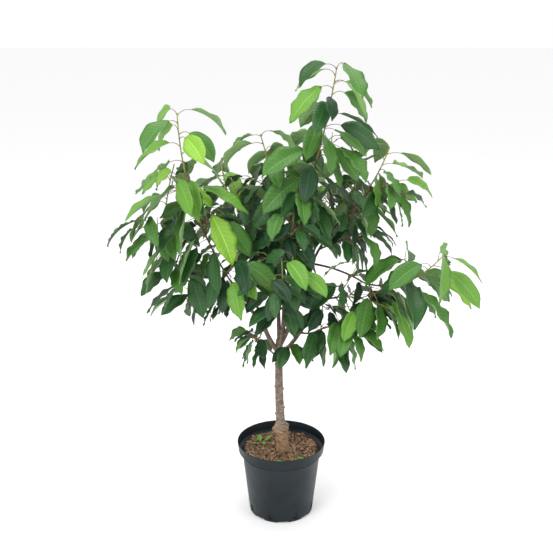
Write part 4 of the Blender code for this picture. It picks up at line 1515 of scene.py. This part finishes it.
class CherryPotSettings(bpy.types.PropertyGroup):
    segments: IntProperty(name="Segments", description="Sides of the turned pot", default=96, min=24, max=256)
    colour: colour_setting("Plastic", "Colour of the pot", (0.003, 0.007, 0.010))
    soil: colour_setting("Soil", "Dark soil between the chips", (0.020, 0.012, 0.007))
    chip_count: IntProperty(name="Chips", description="Number of bark chips", default=2600, min=0, max=6000)
    chip_seed: IntProperty(name="Chip seed", description="Where the chips fall", default=7)
    chip_light: colour_setting("Light chips", "Fresh wood chips", (0.420, 0.270, 0.150))
    chip_middle: colour_setting("Middle chips", "Weathered chips", (0.230, 0.140, 0.080))
    chip_dark: colour_setting("Dark chips", "Moist bark", (0.060, 0.035, 0.022))
    chip_red: colour_setting("Red chips", "Reddish bark", (0.200, 0.090, 0.045))


class CherryStageSettings(bpy.types.PropertyGroup):
    lens: FloatProperty(name="Lens", description="Focal length", unit="CAMERA", default=61.84)
    distance: length_setting("Distance", "How far in front the camera stands", 2.73)
    height: length_setting("Height", "How high the camera stands", 1.69)
    pitch: angle_setting("Pitch", "How far the camera looks down", 18.2)
    aside: length_setting("Aside", "How far the camera stands to the right", -0.015)
    floor: colour_setting("Floor", "Pale floor", (0.95, 0.95, 0.95))


class CHERRY_OT_wood(bpy.types.Operator):
    """Make the trunk and the boughs with their bark"""

    bl_idname = "cherry.wood"
    bl_label = "Trunk and boughs"

    def execute(self, context):
        make_wood(context.scene.cherry_tree)
        return {"FINISHED"}


class CHERRY_OT_twigs(bpy.types.Operator):
    """Make the shoots, side twigs, petioles and buds of every mass"""

    bl_idname = "cherry.twigs"
    bl_label = "Twigs"

    def execute(self, context):
        materials = [
            plain_material("shoot_brown", (0.100, 0.055, 0.028), 0.6),
            plain_material("shoot_tan", (0.220, 0.140, 0.035), 0.5),
            plain_material("shoot_green", (0.260, 0.270, 0.040), 0.5),
            plain_material("petiole_red", (0.140, 0.045, 0.040), 0.45),
            plain_material("petiole_green", (0.160, 0.170, 0.050), 0.45),
        ]
        for name, growth in grown_crown().items():
            make_twigs(name, growth, materials)
        return {"FINISHED"}


class CHERRY_OT_leaves(bpy.types.Operator):
    """Make the leaves of every mass"""

    bl_idname = "cherry.leaves"
    bl_label = "Leaves"

    def execute(self, context):
        settings = context.scene.cherry_tree
        materials = leaf_colours(settings)
        for name, growth in grown_crown().items():
            make_leaves(name, growth, settings, materials)
        return {"FINISHED"}


class CHERRY_OT_pot(bpy.types.Operator):
    """Make the nursery pot"""

    bl_idname = "cherry.pot"
    bl_label = "Pot"

    def execute(self, context):
        make_pot(context.scene.cherry_pot)
        return {"FINISHED"}


class CHERRY_OT_mix(bpy.types.Operator):
    """Make the potting mix, its chips, and the sprouts and leaves that lie on it"""

    bl_idname = "cherry.mix"
    bl_label = "Potting mix"

    def execute(self, context):
        make_mix(context.scene.cherry_pot)
        make_chips(context.scene.cherry_pot)
        make_litter(context.scene.cherry_tree)
        return {"FINISHED"}


class CHERRY_OT_stage(bpy.types.Operator):
    """Make the floor, the light and the camera"""

    bl_idname = "cherry.stage"
    bl_label = "Stage"

    def execute(self, context):
        make_floor(context.scene.cherry_stage.floor)
        make_light(context.scene)
        make_camera(context.scene, context.scene.cherry_stage)
        return {"FINISHED"}


class CHERRY_PT_panel(bpy.types.Panel):
    bl_idname = "CHERRY_PT_panel"
    bl_label = "Cherry tree"
    bl_space_type = "VIEW_3D"
    bl_region_type = "UI"
    bl_category = "Cherry tree"

    def draw(self, context):
        for operator in OPERATORS:
            self.layout.operator(operator.bl_idname)


OPERATORS = (CHERRY_OT_wood, CHERRY_OT_twigs, CHERRY_OT_leaves, CHERRY_OT_pot, CHERRY_OT_mix, CHERRY_OT_stage)
CLASSES = (CherryTreeSettings, CherryPotSettings, CherryStageSettings, *OPERATORS, CHERRY_PT_panel)


def register():
    for cls in CLASSES:
        bpy.utils.register_class(cls)
    bpy.types.Scene.cherry_tree = PointerProperty(type=CherryTreeSettings)
    bpy.types.Scene.cherry_pot = PointerProperty(type=CherryPotSettings)
    bpy.types.Scene.cherry_stage = PointerProperty(type=CherryStageSettings)


def unregister():
    del bpy.types.Scene.cherry_stage
    del bpy.types.Scene.cherry_pot
    del bpy.types.Scene.cherry_tree
    for cls in reversed(CLASSES):
        bpy.utils.unregister_class(cls)


def main():
    register()
    bpy.ops.cherry.wood()
    bpy.ops.cherry.twigs()
    bpy.ops.cherry.leaves()
    bpy.ops.cherry.pot()
    bpy.ops.cherry.mix()
    bpy.ops.cherry.stage()


if __name__ == "__main__":
    main()
